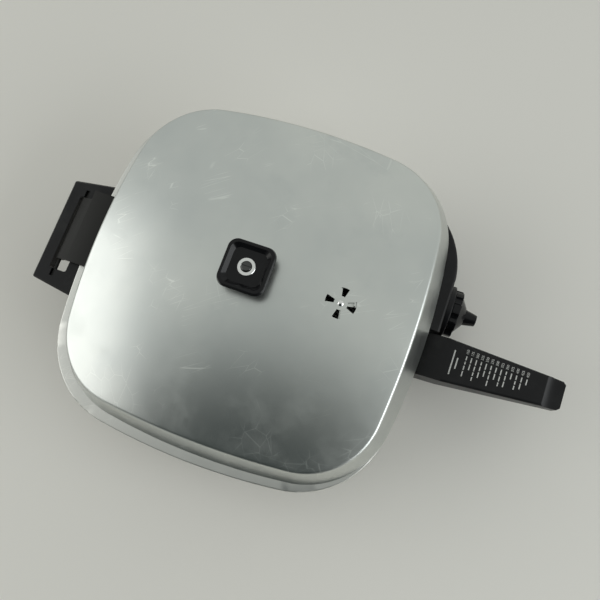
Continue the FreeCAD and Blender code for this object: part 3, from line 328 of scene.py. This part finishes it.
@dataclass(frozen=True)
class WornMetal:
    """Bare metal with clouds of tone, a fine grain, smudges and scratches in several directions."""

    name: str
    colour: Colour
    shade: Colour
    roughness: float
    smudge: float = 0.12
    grain: float = 0.00002
    scratch_spacing: float = 55.0
    stain: float = 0.3
    scratch_amount: float = 0.37
    scratch_shine: float = 0.5
    scratch_light: float = 1.3
    scratch_angles: tuple[float, ...] = (0.35, 1.25, 2.2, 2.75)
    scratch_thin: float = 0.012
    scratch_mask: float = 9.0
    spacing_growth: float = 0.37
    thin_growth: float = 0.004
    mask_growth: float = 5.0
    clouds: Patches = Patches(6.0, 4.0, 0.55, 0.25, 0.78)
    smears: Patches = Patches(26.0, 6.0, 0.7, 0.42, 0.7)
    stains: Patches = Patches(17.0, 5.0, 0.62, 0.50, 0.72)
    grain_scale: float = 1400.0
    grain_roughness: float = 0.08
    scratch_roughness: float = 0.06

    def scratches(self, maker: MaterialMaker) -> Value:
        """The scratches of all directions together.

        Each direction after the first has its spacing, width and mask grown by even steps.

        Args:
            maker: the material under construction.

        Returns:
            1 in a scratch and 0 elsewhere.
        """
        lines = [Scratches(angle, self.scratch_spacing * (1 + self.spacing_growth * k),
                           self.scratch_thin + self.thin_growth * k, self.scratch_mask + self.mask_growth * k,
                           self.scratch_amount).on(maker)
                 for k, angle in enumerate(self.scratch_angles)]
        return sum(lines[1:], lines[0]).lowest(1.0)

    def build(self) -> bpy.types.Material:
        """Make the material: toned and stained metal, lighter and rougher in its scratches.

        Returns:
            The material.
        """
        maker = MaterialMaker(self.name)
        grain = maker.noise(self.grain_scale, 3.0, 0.7)
        lines = self.scratches(maker)
        clouded = maker.mix(self.clouds.on(maker), self.shade, self.colour)
        toned = maker.mix(self.stains.on(maker) * self.stain, clouded, self.shade)
        light = tuple(min(1.0, c * self.scratch_light) for c in self.colour)
        rough = (self.smears.on(maker) * self.smudge + (grain - 0.5) * self.grain_roughness
                 + lines * self.scratch_roughness + self.roughness)
        return maker.surface(Base_Color=maker.mix(lines * self.scratch_shine, toned, light), Metallic=1.0,
                             Roughness=rough, Normal=maker.bump(grain * 0.5 - lines, self.grain))


@dataclass(frozen=True)
class Moulding:
    """Black moulded phenolic: nearly even, with dust in soft patches, fine scuffs and a faint orange peel."""

    name: str
    colour: Colour
    worn: Colour
    roughness: float
    dust: float = 0.25
    peel: float = 0.00003
    scuff: float = 0.35
    dusty: Patches = Patches(38.0, 5.0, 0.65, 0.45, 0.75)
    specks: Patches = Patches(2200.0, 2.0, 0.55, 0.66, 0.74)
    speck_dust: float = 0.18
    scuff_sets: tuple[tuple[float, ...], ...] = ((0.6, 130.0, 0.02, 30.0), (2.1, 170.0, 0.02, 45.0))
    scuff_dust: float = 0.35
    scuff_depth: float = 0.4
    scuff_roughness: float = 0.15
    dust_roughness: float = 0.12
    peel_scale: float = 650.0
    peel_roughness: float = 0.06
    shine: float = 0.22

    def build(self) -> bpy.types.Material:
        """Make the material: the worn colour shows where dust, specks or scuffs are, which are rougher.

        Returns:
            The material.
        """
        maker = MaterialMaker(self.name)
        patches = self.dusty.on(maker)
        peel = maker.noise(self.peel_scale, 2.0)
        first, second = (Scratches(*sizes, self.scuff).on(maker) for sizes in self.scuff_sets)
        scuffs = first.highest(second)
        dust = patches * self.dust + self.specks.on(maker) * self.speck_dust + scuffs * self.scuff_dust
        rough = (patches * self.dust_roughness + scuffs * self.scuff_roughness
                 + (peel - 0.5) * self.peel_roughness + self.roughness)
        height = peel - scuffs * self.scuff_depth
        return maker.surface(Base_Color=maker.mix(dust.lowest(1.0), self.colour, self.worn), Roughness=rough,
                             Normal=maker.bump(height, self.peel), Specular_IOR_Level=self.shine)


@dataclass(frozen=True)
class Print:
    """Pale ink on the mouldings, thin and a little rubbed."""

    name: str
    colour: Colour
    rubbed: Patches = Patches(900.0, 3.0, 0.55, 0.3, 0.5)
    rubbed_shade: float = 0.55
    grain_scale: float = 500.0
    roughness: float = 0.4
    roughness_spread: float = 0.15
    depth: float = 0.00001

    def build(self) -> bpy.types.Material:
        """Make the material.

        Returns:
            The material.
        """
        maker = MaterialMaker(self.name)
        rubbed = self.rubbed.on(maker)
        worn = tuple(c * self.rubbed_shade for c in self.colour)
        rough = maker.noise(self.grain_scale) * self.roughness_spread + self.roughness
        return maker.surface(Base_Color=maker.mix(rubbed, worn, self.colour), Roughness=rough,
                             Normal=maker.bump(rubbed, self.depth))


@dataclass(frozen=True)
class Ceramic:
    """Dull pressed ceramic of the thermostat's block."""

    name: str
    colour: Colour
    stains: Patches = Patches(90.0, 3.0, 0.55, 0.4, 0.75)
    stain_shade: float = 0.8
    grain_scale: float = 3000.0
    roughness: float = 0.62
    roughness_spread: float = 0.15
    depth: float = 0.00003

    def build(self) -> bpy.types.Material:
        """Make the material.

        Returns:
            The material.
        """
        maker = MaterialMaker(self.name)
        grain = maker.noise(self.grain_scale, 4.0)
        dull = tuple(c * self.stain_shade for c in self.colour)
        return maker.surface(Base_Color=maker.mix(self.stains.on(maker), self.colour, dull),
                             Roughness=grain * self.roughness_spread + self.roughness,
                             Normal=maker.bump(grain, self.depth))


class Finish(Enum):
    """Every finish on the skillet."""

    LID = WornMetal("lid satin aluminium", (0.67, 0.685, 0.655), (0.53, 0.555, 0.545),
                    0.30, 0.06, 0.00001, 70.0, 0.55)
    PAN = WornMetal("pan cast aluminium", (0.70, 0.70, 0.67), (0.62, 0.625, 0.60),
                    0.40, 0.08, 0.00003, 80.0)
    SHEATH = WornMetal("heat darkened sheath", (0.30, 0.28, 0.26), (0.17, 0.15, 0.14),
                       0.5, 0.1, 0.00003, 90.0)
    STEEL = WornMetal("dull plated steel", (0.60, 0.60, 0.58), (0.46, 0.46, 0.44),
                      0.36, 0.12, 0.00002, 140.0)
    BRIGHT = WornMetal("bright trim", (0.82, 0.82, 0.81), (0.72, 0.72, 0.71),
                       0.16, 0.08, 0.00001, 200.0)
    BRASS = WornMetal("turned brass", (0.72, 0.58, 0.30), (0.56, 0.44, 0.22),
                      0.34, 0.1, 0.00002, 160.0)
    NICKEL = WornMetal("darkened nickel", (0.11, 0.11, 0.11), (0.06, 0.06, 0.06),
                       0.14, 0.1, 0.00001, 220.0)
    BLACK = Moulding("black moulding", (0.009, 0.009, 0.010), (0.07, 0.07, 0.068), 0.34, 0.14)
    GLOSS = Moulding("black polished moulding", (0.006, 0.006, 0.007), (0.05, 0.05, 0.05),
                     0.13, 0.06, 0.00001, 0.15)
    PLATE = Moulding("plate baked enamel", (0.008, 0.008, 0.007), (0.035, 0.032, 0.03),
                     0.42, 0.10, 0.00003, 0.2)
    INK = Print("print on the mouldings", (0.62, 0.62, 0.60))
    CERAMIC = Ceramic("pressed ceramic", (0.82, 0.80, 0.75))

    def material(self) -> bpy.types.Material:
        """The finish's material, made once."""
        return bpy.data.materials.get(self.value.name) or self.value.build()


NODE_FINISH: dict[Finish, tuple[str, ...]] = {
    Finish.PAN: ("pan",),
    Finish.LID: ("vent_shutter", "plate_rivets"),
    Finish.SHEATH: ("heating_element",),
    Finish.STEEL: ("foot_screws", "handle_bracket", "bracket_screws", "handle_screw", "helper_screws",
                   "housing_screws", "cover_screws", "dial_shaft", "cam", "thermostat_carrier", "inlet_pins",
                   "knob_washer", "knob_nut", "vent_spring"),
    Finish.BRIGHT: ("knob_ring", "vent_rivet"),
    Finish.NICKEL: ("knob_screw",),
    Finish.BRASS: ("shaft_bush", "bush_nut", "cam_blade", "contact_blade"),
    Finish.BLACK: ("foot_back_left", "foot_front_left", "foot_back_right", "foot_front_right", "main_handle",
                   "helper_handle", "control_housing", "housing_cover", "inlet_shroud"),
    Finish.GLOSS: ("lid_knob", "control_dial"),
    Finish.PLATE: ("hinge_plate", "hinge_pin"),
    Finish.CERAMIC: ("blade_stack",),
}


def shown(name: str, data: bpy.types.ID) -> bpy.types.Object:
    """A new object of that name and data, in the scene."""
    new = bpy.data.objects.new(name, data)
    bpy.context.scene.collection.objects.link(new)
    return new


def dress(piece: bpy.types.Object, finish: Finish, sharp: float) -> None:
    """Give a piece its finish and smooth shading that breaks at edges sharper than an angle.

    Args:
        piece: the piece or CAD node.
        finish: its finish.
        sharp: the angle in degrees.
    """
    mesh = piece.data
    mesh.materials.clear()
    mesh.materials.append(finish.material())
    mesh.polygons.foreach_set("use_smooth", np.ones(len(mesh.polygons), bool))
    if piece.get("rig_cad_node"):
        weld = piece.modifiers.new("join triangles", "WELD")
        weld.merge_threshold = WELD_REACH
    split = piece.modifiers.new("keep edges", "EDGE_SPLIT")
    split.split_angle = math.radians(sharp)


@dataclass
class SquarePlan:
    """The plan that the pan and the lid share: four bulging sides and four round corners."""

    side_bulge: float = 426.0
    corner_inset: float = 74.6
    side_steps: int = 26
    corner_steps: int = 26
    corner_centre: float = field(init=False)
    side_angle: float = field(init=False)

    def __post_init__(self) -> None:
        """Work out the corner's middle and the side's half angle from the tangent condition."""
        reach = self.side_bulge + self.corner_inset
        self.corner_centre = (math.sqrt(2 * reach ** 2 - self.side_bulge ** 2) - self.side_bulge) / 2
        self.side_angle = math.atan2(self.corner_centre, self.corner_centre + self.side_bulge)

    def directions(self) -> np.ndarray:
        """The directions square to the outline at each step round it.

        Returns:
            The angles in radians from +X, the sides and corners by turns.
        """
        side = np.linspace(-self.side_angle, self.side_angle, self.side_steps, endpoint=False)
        side_end = QUARTER_TURN - self.side_angle
        corner = np.linspace(self.side_angle, side_end, self.corner_steps, endpoint=False)
        quarter = np.concatenate([side, corner])
        return np.concatenate([quarter + k * QUARTER_TURN for k in range(4)])

    def points(self, half: Union[float, np.ndarray]) -> np.ndarray:
        """Points of the outline of a half width, one for each direction.

        A point is the arc's centre plus its radius along the direction. On a side the centre is the
        bulge behind the middle, and the radius is the half width plus the bulge. In a corner the centre
        is the corner's, and the radius is the half width less the inset.

        Args:
            half: half width in millimetres, one number or one for each direction.

        Returns:
            X and Y of each point.
        """
        turn = self.directions()
        quarter = np.floor((turn + self.side_angle) / QUARTER_TURN)
        local = turn - quarter * QUARTER_TURN
        on_side = local < self.side_angle
        centre_x = np.where(on_side, -self.side_bulge, self.corner_centre)
        centre_y = np.where(on_side, 0.0, self.corner_centre)
        radius = np.where(on_side, half + self.side_bulge, half - self.corner_inset)
        x = centre_x + radius * np.cos(local)
        y = centre_y + radius * np.sin(local)
        c, s = np.cos(quarter * QUARTER_TURN), np.sin(quarter * QUARTER_TURN)
        return np.stack([x * c - y * s, x * s + y * c], axis=-1)


@dataclass
class Lid:
    """The drawn lid: a low dome, a crease, a flared skirt with a folded hem and the vent's four slots.

    Sizes are in millimetres and angles in degrees. Its surface is a stack of rings, from the crown over
    the outside, round the hem and back inside to the crown, each ring with one point for each direction.
    """

    rim_half: float = 150.0
    crease_half: float = 138.0
    rim_z: float = 72.2
    skirt_height: float = 30.0
    dome_rise: float = 15.6
    sheet: float = 1.3
    crease_reach: float = 2.0
    hem_width: float = 2.2
    hem_height: float = 1.8
    hem_round: float = 0.5
    hem_lip: float = 0.3
    middle: tuple[float, float] = (5.0 - PAN_MIDDLE_X, 4.0)
    plate_half: float = 34.5
    notch_height: float = 2.6
    notch_margin: float = 1.2
    notch_fade: float = 0.35
    vent_x: float = 76.2
    slot_inner: float = 5.6
    slot_outer: float = 12.6
    slot_angle: float = 31.0
    tab_slot_angle: float = 46.0
    slot_below: float = 4.0
    slot_above: float = 2.0
    slot_steps: int = 9
    slots: int = 4
    crown_share: float = 0.02
    dome_rings: int = 44
    crease_rings: int = 8
    skirt_rings: int = 11
    hem_rings: int = 6
    wall_rings: int = 7
    inner_dome_rings: int = 34
    settle_rounds: int = 12
    sharp: float = 32.0
    plan: SquarePlan = field(default_factory=SquarePlan)

    def crown_z(self) -> float:
        """Height of the crown."""
        return self.rim_z + self.skirt_height + self.dome_rise

    def dome_radius(self) -> float:
        """Radius of the ball that the dome is part of."""
        return (self.crease_half ** 2 + self.dome_rise ** 2) / (2 * self.dome_rise)

    def dome_centre_z(self) -> float:
        """Height of that ball's middle."""
        return self.crown_z() - self.dome_radius()

    def dome_z(self, xy: np.ndarray, inset: float) -> np.ndarray:
        """Height of the dome: the ball's middle plus the root of radius squared less distance squared.

        Args:
            xy: points of the plan.
            inset: how far under the outside.

        Returns:
            The height above each point.
        """
        radius = self.dome_radius() - inset
        return self.dome_centre_z() + np.sqrt(radius ** 2 - (xy ** 2).sum(-1))

    def slope(self) -> float:
        """How much the skirt's half width grows for each millimetre down."""
        return (self.rim_half - self.crease_half) / self.skirt_height

    def skirt_half(self, z: np.ndarray, inset: float) -> np.ndarray:
        """The skirt's half width at a height, or that of a surface inset from it."""
        return self.rim_half - inset - self.slope() * (z - self.rim_z)

    def crease(self, inset: float) -> tuple[np.ndarray, np.ndarray]:
        """Where the skirt meets the dome.

        The skirt's half width falls evenly with height. The height is found by going from a height to
        the skirt's point there and back to the dome's height above that point, until it settles.

        Args:
            inset: how far under the outside.

        Returns:
            The half width and the height at each direction.
        """
        z = np.full(len(self.plan.directions()), self.rim_z + self.skirt_height)
        for _ in range(self.settle_rounds):
            half = self.skirt_half(z, inset)
            z = self.dome_z(self.plan.points(half), inset)
        return half, z

    def rim_height(self) -> np.ndarray:
        """Height of the rim's lower edge: level, but raised where the hinge plate passes under it.

        The raise is the notch's height over 1 plus e to the power of the distance past the plate's
        side, over the fade.

        Returns:
            The height at each direction.
        """
        x, y = self.plan.points(self.rim_half).T
        edge = 1.0 / (1.0 + np.exp((np.abs(y) - self.plate_half - self.notch_margin) / self.notch_fade))
        return self.rim_z + np.where(x < 0, edge * self.notch_height, 0.0)

    def ring(self, half: Union[float, np.ndarray], z: np.ndarray) -> np.ndarray:
        """A ring of points on the outline of a half width, at a height for each direction."""
        return np.column_stack([self.plan.points(half), z])

    def skirt_ring(self, z: np.ndarray, inset: float) -> np.ndarray:
        """A ring on the skirt, or inset from it, at a height for each direction."""
        return self.ring(self.skirt_half(z, inset), z)

    def dome_ring(self, xy: np.ndarray, inset: float) -> np.ndarray:
        """A ring on the dome, or inset from it, above points of the plan."""
        return np.column_stack([xy, self.dome_z(xy, inset)])

    def outside(self) -> list[np.ndarray]:
        """The rings of the outside, from the crown over the dome, round the crease and down the skirt.

        A ring of the dome is a share of the crease's outline, at the dome's height. The crease is a
        curve through three points, weighted (1 - t) squared, 2 t (1 - t) and t squared: the dome's last
        ring, the sharp crease itself and a ring below it on the skirt's line.

        Returns:
            The rings.
        """
        half, z = self.crease(0.0)
        corner = self.ring(half, z)
        plan = corner[:, :2]
        share = 1 - self.crease_reach / np.linalg.norm(plan, axis=1)
        dome = [self.dome_ring(plan * (share * s)[:, None], 0.0)
                for s in np.linspace(self.crown_share, 1.0, self.dome_rings)]
        low_z = z - self.crease_reach
        end = self.ring(half + self.slope() * self.crease_reach, low_z)
        crease = [dome[-1] * (1 - t) ** 2 + corner * (2 * t * (1 - t)) + end * t ** 2
                  for t in np.linspace(0, 1, self.crease_rings + 1)[1:]]
        drop = self.rim_height() + self.hem_round - low_z
        skirt = [self.skirt_ring(low_z + drop * t, 0.0) for t in np.linspace(0, 1, self.skirt_rings + 1)[1:]]
        return dome + crease + skirt

    def hem(self) -> list[np.ndarray]:
        """The rings of the folded hem.

        They go half round in a circle that is pulled apart by a flat between its quarters, then up the
        hem's inner face, and out to the inside of the sheet.

        Returns:
            The rings.
        """
        rim = self.rim_height()
        flat = self.hem_width - 2 * self.hem_round
        rings = []
        for turn in np.linspace(0, math.pi, self.hem_rings + 1)[1:]:
            half = self.rim_half - self.hem_round + self.hem_round * math.cos(turn)
            half -= flat * (turn > QUARTER_TURN)
            rings.append(self.ring(half, rim + self.hem_round - self.hem_round * math.sin(turn)))
        rings.append(self.ring(self.rim_half - self.hem_width, rim + self.hem_height))
        rings.append(self.skirt_ring(rim + self.hem_height + self.hem_lip, self.sheet))
        return rings

    def inside(self) -> list[np.ndarray]:
        """The rings of the inside: evenly up the skirt, then shares of the crease's outline to the crown.

        Returns:
            The rings.
        """
        half, z = self.crease(self.sheet)
        low_z = self.rim_height() + self.hem_height + self.hem_lip
        wall = [self.skirt_ring(low_z + (z - low_z) * t, self.sheet)
                for t in np.linspace(0, 1, self.wall_rings + 1)[1:]]
        plan = self.plan.points(half)
        dome = [self.dome_ring(plan * s, self.sheet)
                for s in np.linspace(1.0, self.crown_share, self.inner_dome_rings)[1:]]
        return wall + dome

    def skin(self) -> bpy.types.Mesh:
        """The closed surface: four-sided faces between neighbouring rings and a fan at each crown.

        Returns:
            The mesh, in the lid's place on the skillet.
        """
        rings = self.outside() + self.hem() + self.inside()
        crowns = np.array([[0, 0, self.crown_z()], [0, 0, self.crown_z() - self.sheet]])
        points = np.concatenate(rings + [crowns]) + (*self.middle, 0.0)
        columns = len(rings[0])
        ring = np.arange(columns)
        after = (ring + 1) % columns
        band = np.column_stack([ring, ring + columns, after + columns, after])
        bands = np.concatenate([band + k * columns for k in range(len(rings) - 1)])
        last = (len(rings) - 1) * columns
        outer_fan = np.column_stack([np.full(columns, len(points) - 2), ring, after])
        inner_fan = np.column_stack([np.full(columns, len(points) - 1), after + last, ring + last])
        mesh = bpy.data.meshes.new("lid_skin")
        faces = bands.tolist() + outer_fan.tolist() + inner_fan.tolist()
        mesh.from_pydata((points * MM).tolist(), [], faces)
        mesh.update()
        return mesh

    def slot_cutter(self, number: int) -> bpy.types.Object:
        """A keystone block through the dome, square to it at the vent.

        Its points are two arcs about the crown's axis, joined, at two heights, and turned about the
        ball's middle by the angle whose sine is the vent's place over the radius: X becomes x cos a +
        z sin a, and Z becomes z cos a - x sin a.

        Args:
            number: which slot, in quarter turns; the shutter's tab stands in number 0.

        Returns:
            The block.
        """
        spread = math.radians(self.tab_slot_angle if number == 0 else self.slot_angle)
        turns = np.linspace(-spread / 2, spread / 2, self.slot_steps) + number * QUARTER_TURN
        arc = np.column_stack([np.cos(turns), np.sin(turns)])
        outline = np.concatenate([arc * self.slot_outer, arc[::-1] * self.slot_inner])
        count = len(outline)
        x, y = np.tile(outline, (2, 1)).T
        z = np.repeat([self.dome_radius() - self.slot_below, self.dome_radius() + self.slot_above], count)
        tilt = math.asin(self.vent_x / self.dome_radius())
        points = np.column_stack([x * math.cos(tilt) + z * math.sin(tilt) + self.middle[0],
                                  y + self.middle[1],
                                  z * math.cos(tilt) - x * math.sin(tilt) + self.dome_centre_z()])
        ring = np.arange(count)
        after = (ring + 1) % count
        sides = np.column_stack([ring, after, after + count, ring + count])
        ends = [ring[::-1].tolist(), (ring + count).tolist()]
        mesh = bpy.data.meshes.new("slot cutter")
        mesh.from_pydata((points * MM).tolist(), [], ends + sides.tolist())
        return shown("slot cutter", mesh)

    def cut_slots(self, piece: bpy.types.Object) -> None:
        """Cut the vent's slots in the lid's skin.

        Args:
            piece: the lid's skin.
        """
        cutters = [self.slot_cutter(k) for k in range(self.slots)]
        for cutter in cutters:
            cut = piece.modifiers.new("slot", "BOOLEAN")
            cut.operation = "DIFFERENCE"
            cut.solver = "EXACT"
            cut.object = cutter
        mesh = bpy.data.meshes.new_from_object(piece.evaluated_get(bpy.context.evaluated_depsgraph_get()))
        piece.modifiers.clear()
        piece.data = mesh
        for cutter in cutters:
            bpy.data.objects.remove(cutter)

    def build(self) -> None:
        """Make the lid's skin over its CAD shell, with the vent's slots in it."""
        piece = shown("lid_skin", self.skin())
        self.cut_slots(piece)
        dress(piece, Finish.LID, self.sharp)
        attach(piece, "lid")
        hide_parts("lid_shell")
        log.info("lid skin: %d faces", len(piece.data.polygons))


@dataclass
class CadPieces:
    """The nodes whose shape stays as it is, with their finishes."""

    sharp: float = 28.0

    def build(self) -> None:
        """Dress every node that keeps its shape."""
        for finish, names in NODE_FINISH.items():
            for name in names:
                dress(frame["nodes"][name], finish, self.sharp)
                log.info("node %s: %s", name, finish.value.name)


@dataclass
class HandlePrint:
    """A plain chart on the long handle's sloping top face: a heading, numbers and rows of dashes.

    Sizes are in millimetres, with X along the handle from its shoulder and Y across it.
    """

    shoulder_x: float = 176.0 - PAN_MIDDLE_X
    shoulder_z: float = 65.0
    shoulder_half: float = 18.6
    tip_x: float = 268.5 - PAN_MIDDLE_X
    tip_z: float = 80.0
    tip_half: float = 11.8
    middle_y: float = -3.5
    edge: float = 3.6
    heading: float = 7.0
    heading_width: float = 1.1
    heading_lines: tuple[tuple[float, float, float], ...] = ((-2.2, -0.75, 0.7), (1.4, -0.35, 0.3))
    start: float = 15.0
    row_pitch: float = 4.1
    rows: int = 13
    first_number: int = 150
    number_step: int = 25
    number_inset: float = 2.4
    text_height: float = 2.1
    letter_share: float = 1.35
    dash_inset: float = 6.0
    dash_width: float = 0.85
    dash_least: float = 2.4
    dash_spread: float = 2.6
    dash_gap: float = 1.1
    dash_waves: tuple[float, float, float] = (1.9, 2.7, 0.4)
    ragged: float = 3.5
    ragged_wave: float = 2.3
    lift: float = 0.04
    thickness: float = 0.03

    def to_face(self) -> Matrix:
        """The place of the print's own plane: along the handle, across it and off its face.

        Returns:
            The turn and shift from the print's plane to the skillet.
        """
        slope = math.atan2(self.tip_z - self.shoulder_z, self.tip_x - self.shoulder_x)
        along = Matrix.Translation((self.shoulder_x * MM, self.middle_y * MM, self.shoulder_z * MM))
        return along @ Matrix.Rotation(-slope, 4, "Y")

    def half_at(self, x: float) -> float:
        """Half width of the chart at a place along the handle."""
        share = x / (self.tip_x - self.shoulder_x)
        return self.shoulder_half + (self.tip_half - self.shoulder_half) * share - self.edge

    def text(self, letters: str, x: float, y: float) -> bpy.types.Mesh:
        """Flat letters that read across the handle.

        Args:
            letters: what they say.
            x: place of their middle along the handle.
            y: place of their middle across it.

        Returns:
            Their mesh.
        """
        curve = bpy.data.curves.new("print", "FONT")
        curve.body = letters
        curve.size = self.text_height * self.letter_share * MM
        curve.align_x = "CENTER"
        curve.align_y = "CENTER"
        curve.extrude = self.thickness * MM
        letter_piece = shown("print", curve)
        bpy.context.view_layer.update()
        mesh = bpy.data.meshes.new_from_object(letter_piece)
        bpy.data.objects.remove(letter_piece)
        place = Matrix.Translation((x * MM, y * MM, self.lift * MM))
        mesh.transform(place @ Matrix.Rotation(QUARTER_TURN, 4, "Z"))
        return mesh

    def dash(self, x: float, low: float, high: float, width: float) -> bpy.types.Mesh:
        """A thin flat dash across the handle.

        Args:
            x: place of its middle along the handle.
            low: where it starts across the handle.
            high: where it ends.
            width: its width along the handle.

        Returns:
            Its mesh.
        """
        mesh = bpy.data.meshes.new("dash")
        form = bmesh.new()
        bmesh.ops.create_cube(form, size=1.0)
        bmesh.ops.scale(form, vec=(width * MM, (high - low) * MM, 2 * self.thickness * MM), verts=form.verts)
        bmesh.ops.translate(form, vec=(x * MM, (low + high) / 2 * MM, self.lift * MM), verts=form.verts)
        form.to_mesh(mesh)
        form.free()
        return mesh

    def row(self, number: int) -> list[bpy.types.Mesh]:
        """One row: its number at the control's side, and dashes of uneven length.

        A dash is the least length plus a share of the spread, by the sine of its place in the chart. A
        row ends where the next dash would pass the row's own ragged end.

        Args:
            number: which row, from the shoulder.

        Returns:
            The meshes of the row.
        """
        x = self.start + number * self.row_pitch
        half = self.half_at(x)
        figure = str(self.first_number + self.number_step * number)
        parts = [self.text(figure, x, half - self.number_inset)]
        last = -half + self.ragged * (1 + math.sin(self.ragged_wave * number))
        row_wave, place_wave, phase = self.dash_waves
        y, place = half - self.dash_inset, 0
        while True:
            wave = abs(math.sin(row_wave * number + place_wave * place + phase))
            length = self.dash_least + self.dash_spread * wave
            if y - length < last:
                return parts
            parts.append(self.dash(x, y - length, y, self.dash_width))
            y, place = y - length - self.dash_gap, place + 1

    def headings(self) -> list[bpy.types.Mesh]:
        """A long and a short dash at the chart's head, which end at shares of its half width.

        Returns:
            Their meshes.
        """
        half = self.half_at(self.heading)
        return [self.dash(self.heading + x, half * low, half * high, self.heading_width)
                for x, low, high in self.heading_lines]

    def build(self) -> None:
        """Make the chart as one piece."""
        parts = self.headings()
        for number in range(self.rows):
            parts += self.row(number)
        form = bmesh.new()
        for part in parts:
            form.from_mesh(part)
        bmesh.ops.transform(form, matrix=self.to_face(), verts=form.verts)
        mesh = bpy.data.meshes.new("handle_print")
        form.to_mesh(mesh)
        form.free()
        mesh.materials.append(Finish.INK.material())
        piece = shown("handle_print", mesh)
        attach(piece, "base")
        log.info("handle print: %d faces", len(mesh.polygons))


@dataclass(frozen=True)
class Lamp:
    """A soft rectangular lamp at a place, facing a target, in metres and watts."""

    name: str
    place: tuple[float, float, float]
    target: tuple[float, float, float]
    size: tuple[float, float]
    power: float
    colour: Colour

    def build(self) -> None:
        """Make the lamp."""
        data = bpy.data.lights.new(self.name, "AREA")
        data.shape = "RECTANGLE"
        data.size, data.size_y = self.size
        data.energy = self.power
        data.color = self.colour
        lamp = shown(self.name, data)
        lamp.location = self.place
        lamp.rotation_euler = (Vector(self.target) - Vector(self.place)).to_track_quat("-Z", "Y").to_euler()
        log.info("lamp %s: %g W", self.name, self.power)


@dataclass
class Studio:
    """The floor, the lamps, the soft surround and the camera, in metres."""

    floor_half: float = 3.0
    floor_colour: Colour = (0.80, 0.78, 0.735)
    floor_shade: float = 0.96
    floor_patches: float = 3.0
    floor_patch_share: float = 0.5
    floor_roughness: float = 0.75
    camera_place: tuple[float, float, float] = (0.1138 - PAN_MIDDLE_X * MM, -0.0845, 0.5537)
    camera_turn: tuple[float, float, float] = (0.21679, 0.07338, 0.34653)
    lens: float = 34.77
    clip_start: float = 0.01
    pale_side: Colour = (0.62, 0.645, 0.62)
    dark_side: Colour = (0.03, 0.04, 0.04)
    dark_toward: tuple[float, float, float] = (0.08, -0.78, 0.62)
    dark_from: float = 0.56
    dark_full: float = 0.88
    lamps: tuple[Lamp, ...] = (
        Lamp("window", (-1.9, -0.45, 1.15), (-0.05, 0, 0.1), (2.0, 1.5), 12.6, (1.0, 0.99, 0.96)),
        Lamp("fill", (1.9, -0.2, 0.9), (0, 0, 0.1), (1.8, 1.0), 16.0, (0.95, 0.98, 1.0)),
    )

    def floor(self) -> None:
        """A pale floor with the faintest unevenness."""
        half = self.floor_half
        mesh = bpy.data.meshes.new("floor")
        corners = [(-half, -half, 0), (half, -half, 0), (half, half, 0), (-half, half, 0)]
        mesh.from_pydata(corners, [], [(0, 1, 2, 3)])
        maker = MaterialMaker("floor")
        shade = tuple(c * self.floor_shade for c in self.floor_colour)
        patches = maker.noise(self.floor_patches, 2.0) * self.floor_patch_share
        colour = maker.mix(patches, shade, self.floor_colour)
        mesh.materials.append(maker.surface(Base_Color=colour, Roughness=self.floor_roughness))
        shown("floor", mesh)

    def surround(self) -> None:
        """A pale grey surround that darkens smoothly with the cosine of the angle to one direction."""
        world = bpy.data.worlds.new("room")
        bpy.context.scene.world = world
        world.use_nodes = True
        maker = NodeMaker(world.node_tree)
        place = maker.node("ShaderNodeTexCoord").outputs["Generated"]
        toward = maker.value("ShaderNodeVectorMath", {"operation": "DOT_PRODUCT"},
                             {0: place, 1: self.dark_toward}, "Value")
        colour = maker.mix(toward.ramp(self.dark_from, self.dark_full), self.pale_side, self.dark_side)
        light = maker.node("ShaderNodeBackground", None, {"Color": colour, "Strength": 1.0})
        maker.node("ShaderNodeOutputWorld", None, {"Surface": light.outputs[0]})

    def camera(self) -> None:
        """The camera at the photograph's viewing angle."""
        data = bpy.data.cameras.new("camera")
        data.lens = self.lens
        data.clip_start = self.clip_start
        camera = shown("camera", data)
        camera.location = self.camera_place
        camera.rotation_euler = self.camera_turn
        bpy.context.scene.camera = camera

    def build(self) -> None:
        """Make the whole setting."""
        self.floor()
        self.surround()
        for lamp in self.lamps:
            lamp.build()
        self.camera()
        bpy.context.scene.view_settings.view_transform = "Standard"
        log.info("studio is set")


def main() -> None:
    """Build every piece and the setting."""
    logging.basicConfig(level=logging.INFO)
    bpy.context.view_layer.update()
    Studio().build()
    CadPieces().build()
    Lid().build()
    HandlePrint().build()


if __name__ == "__main__":
    main()
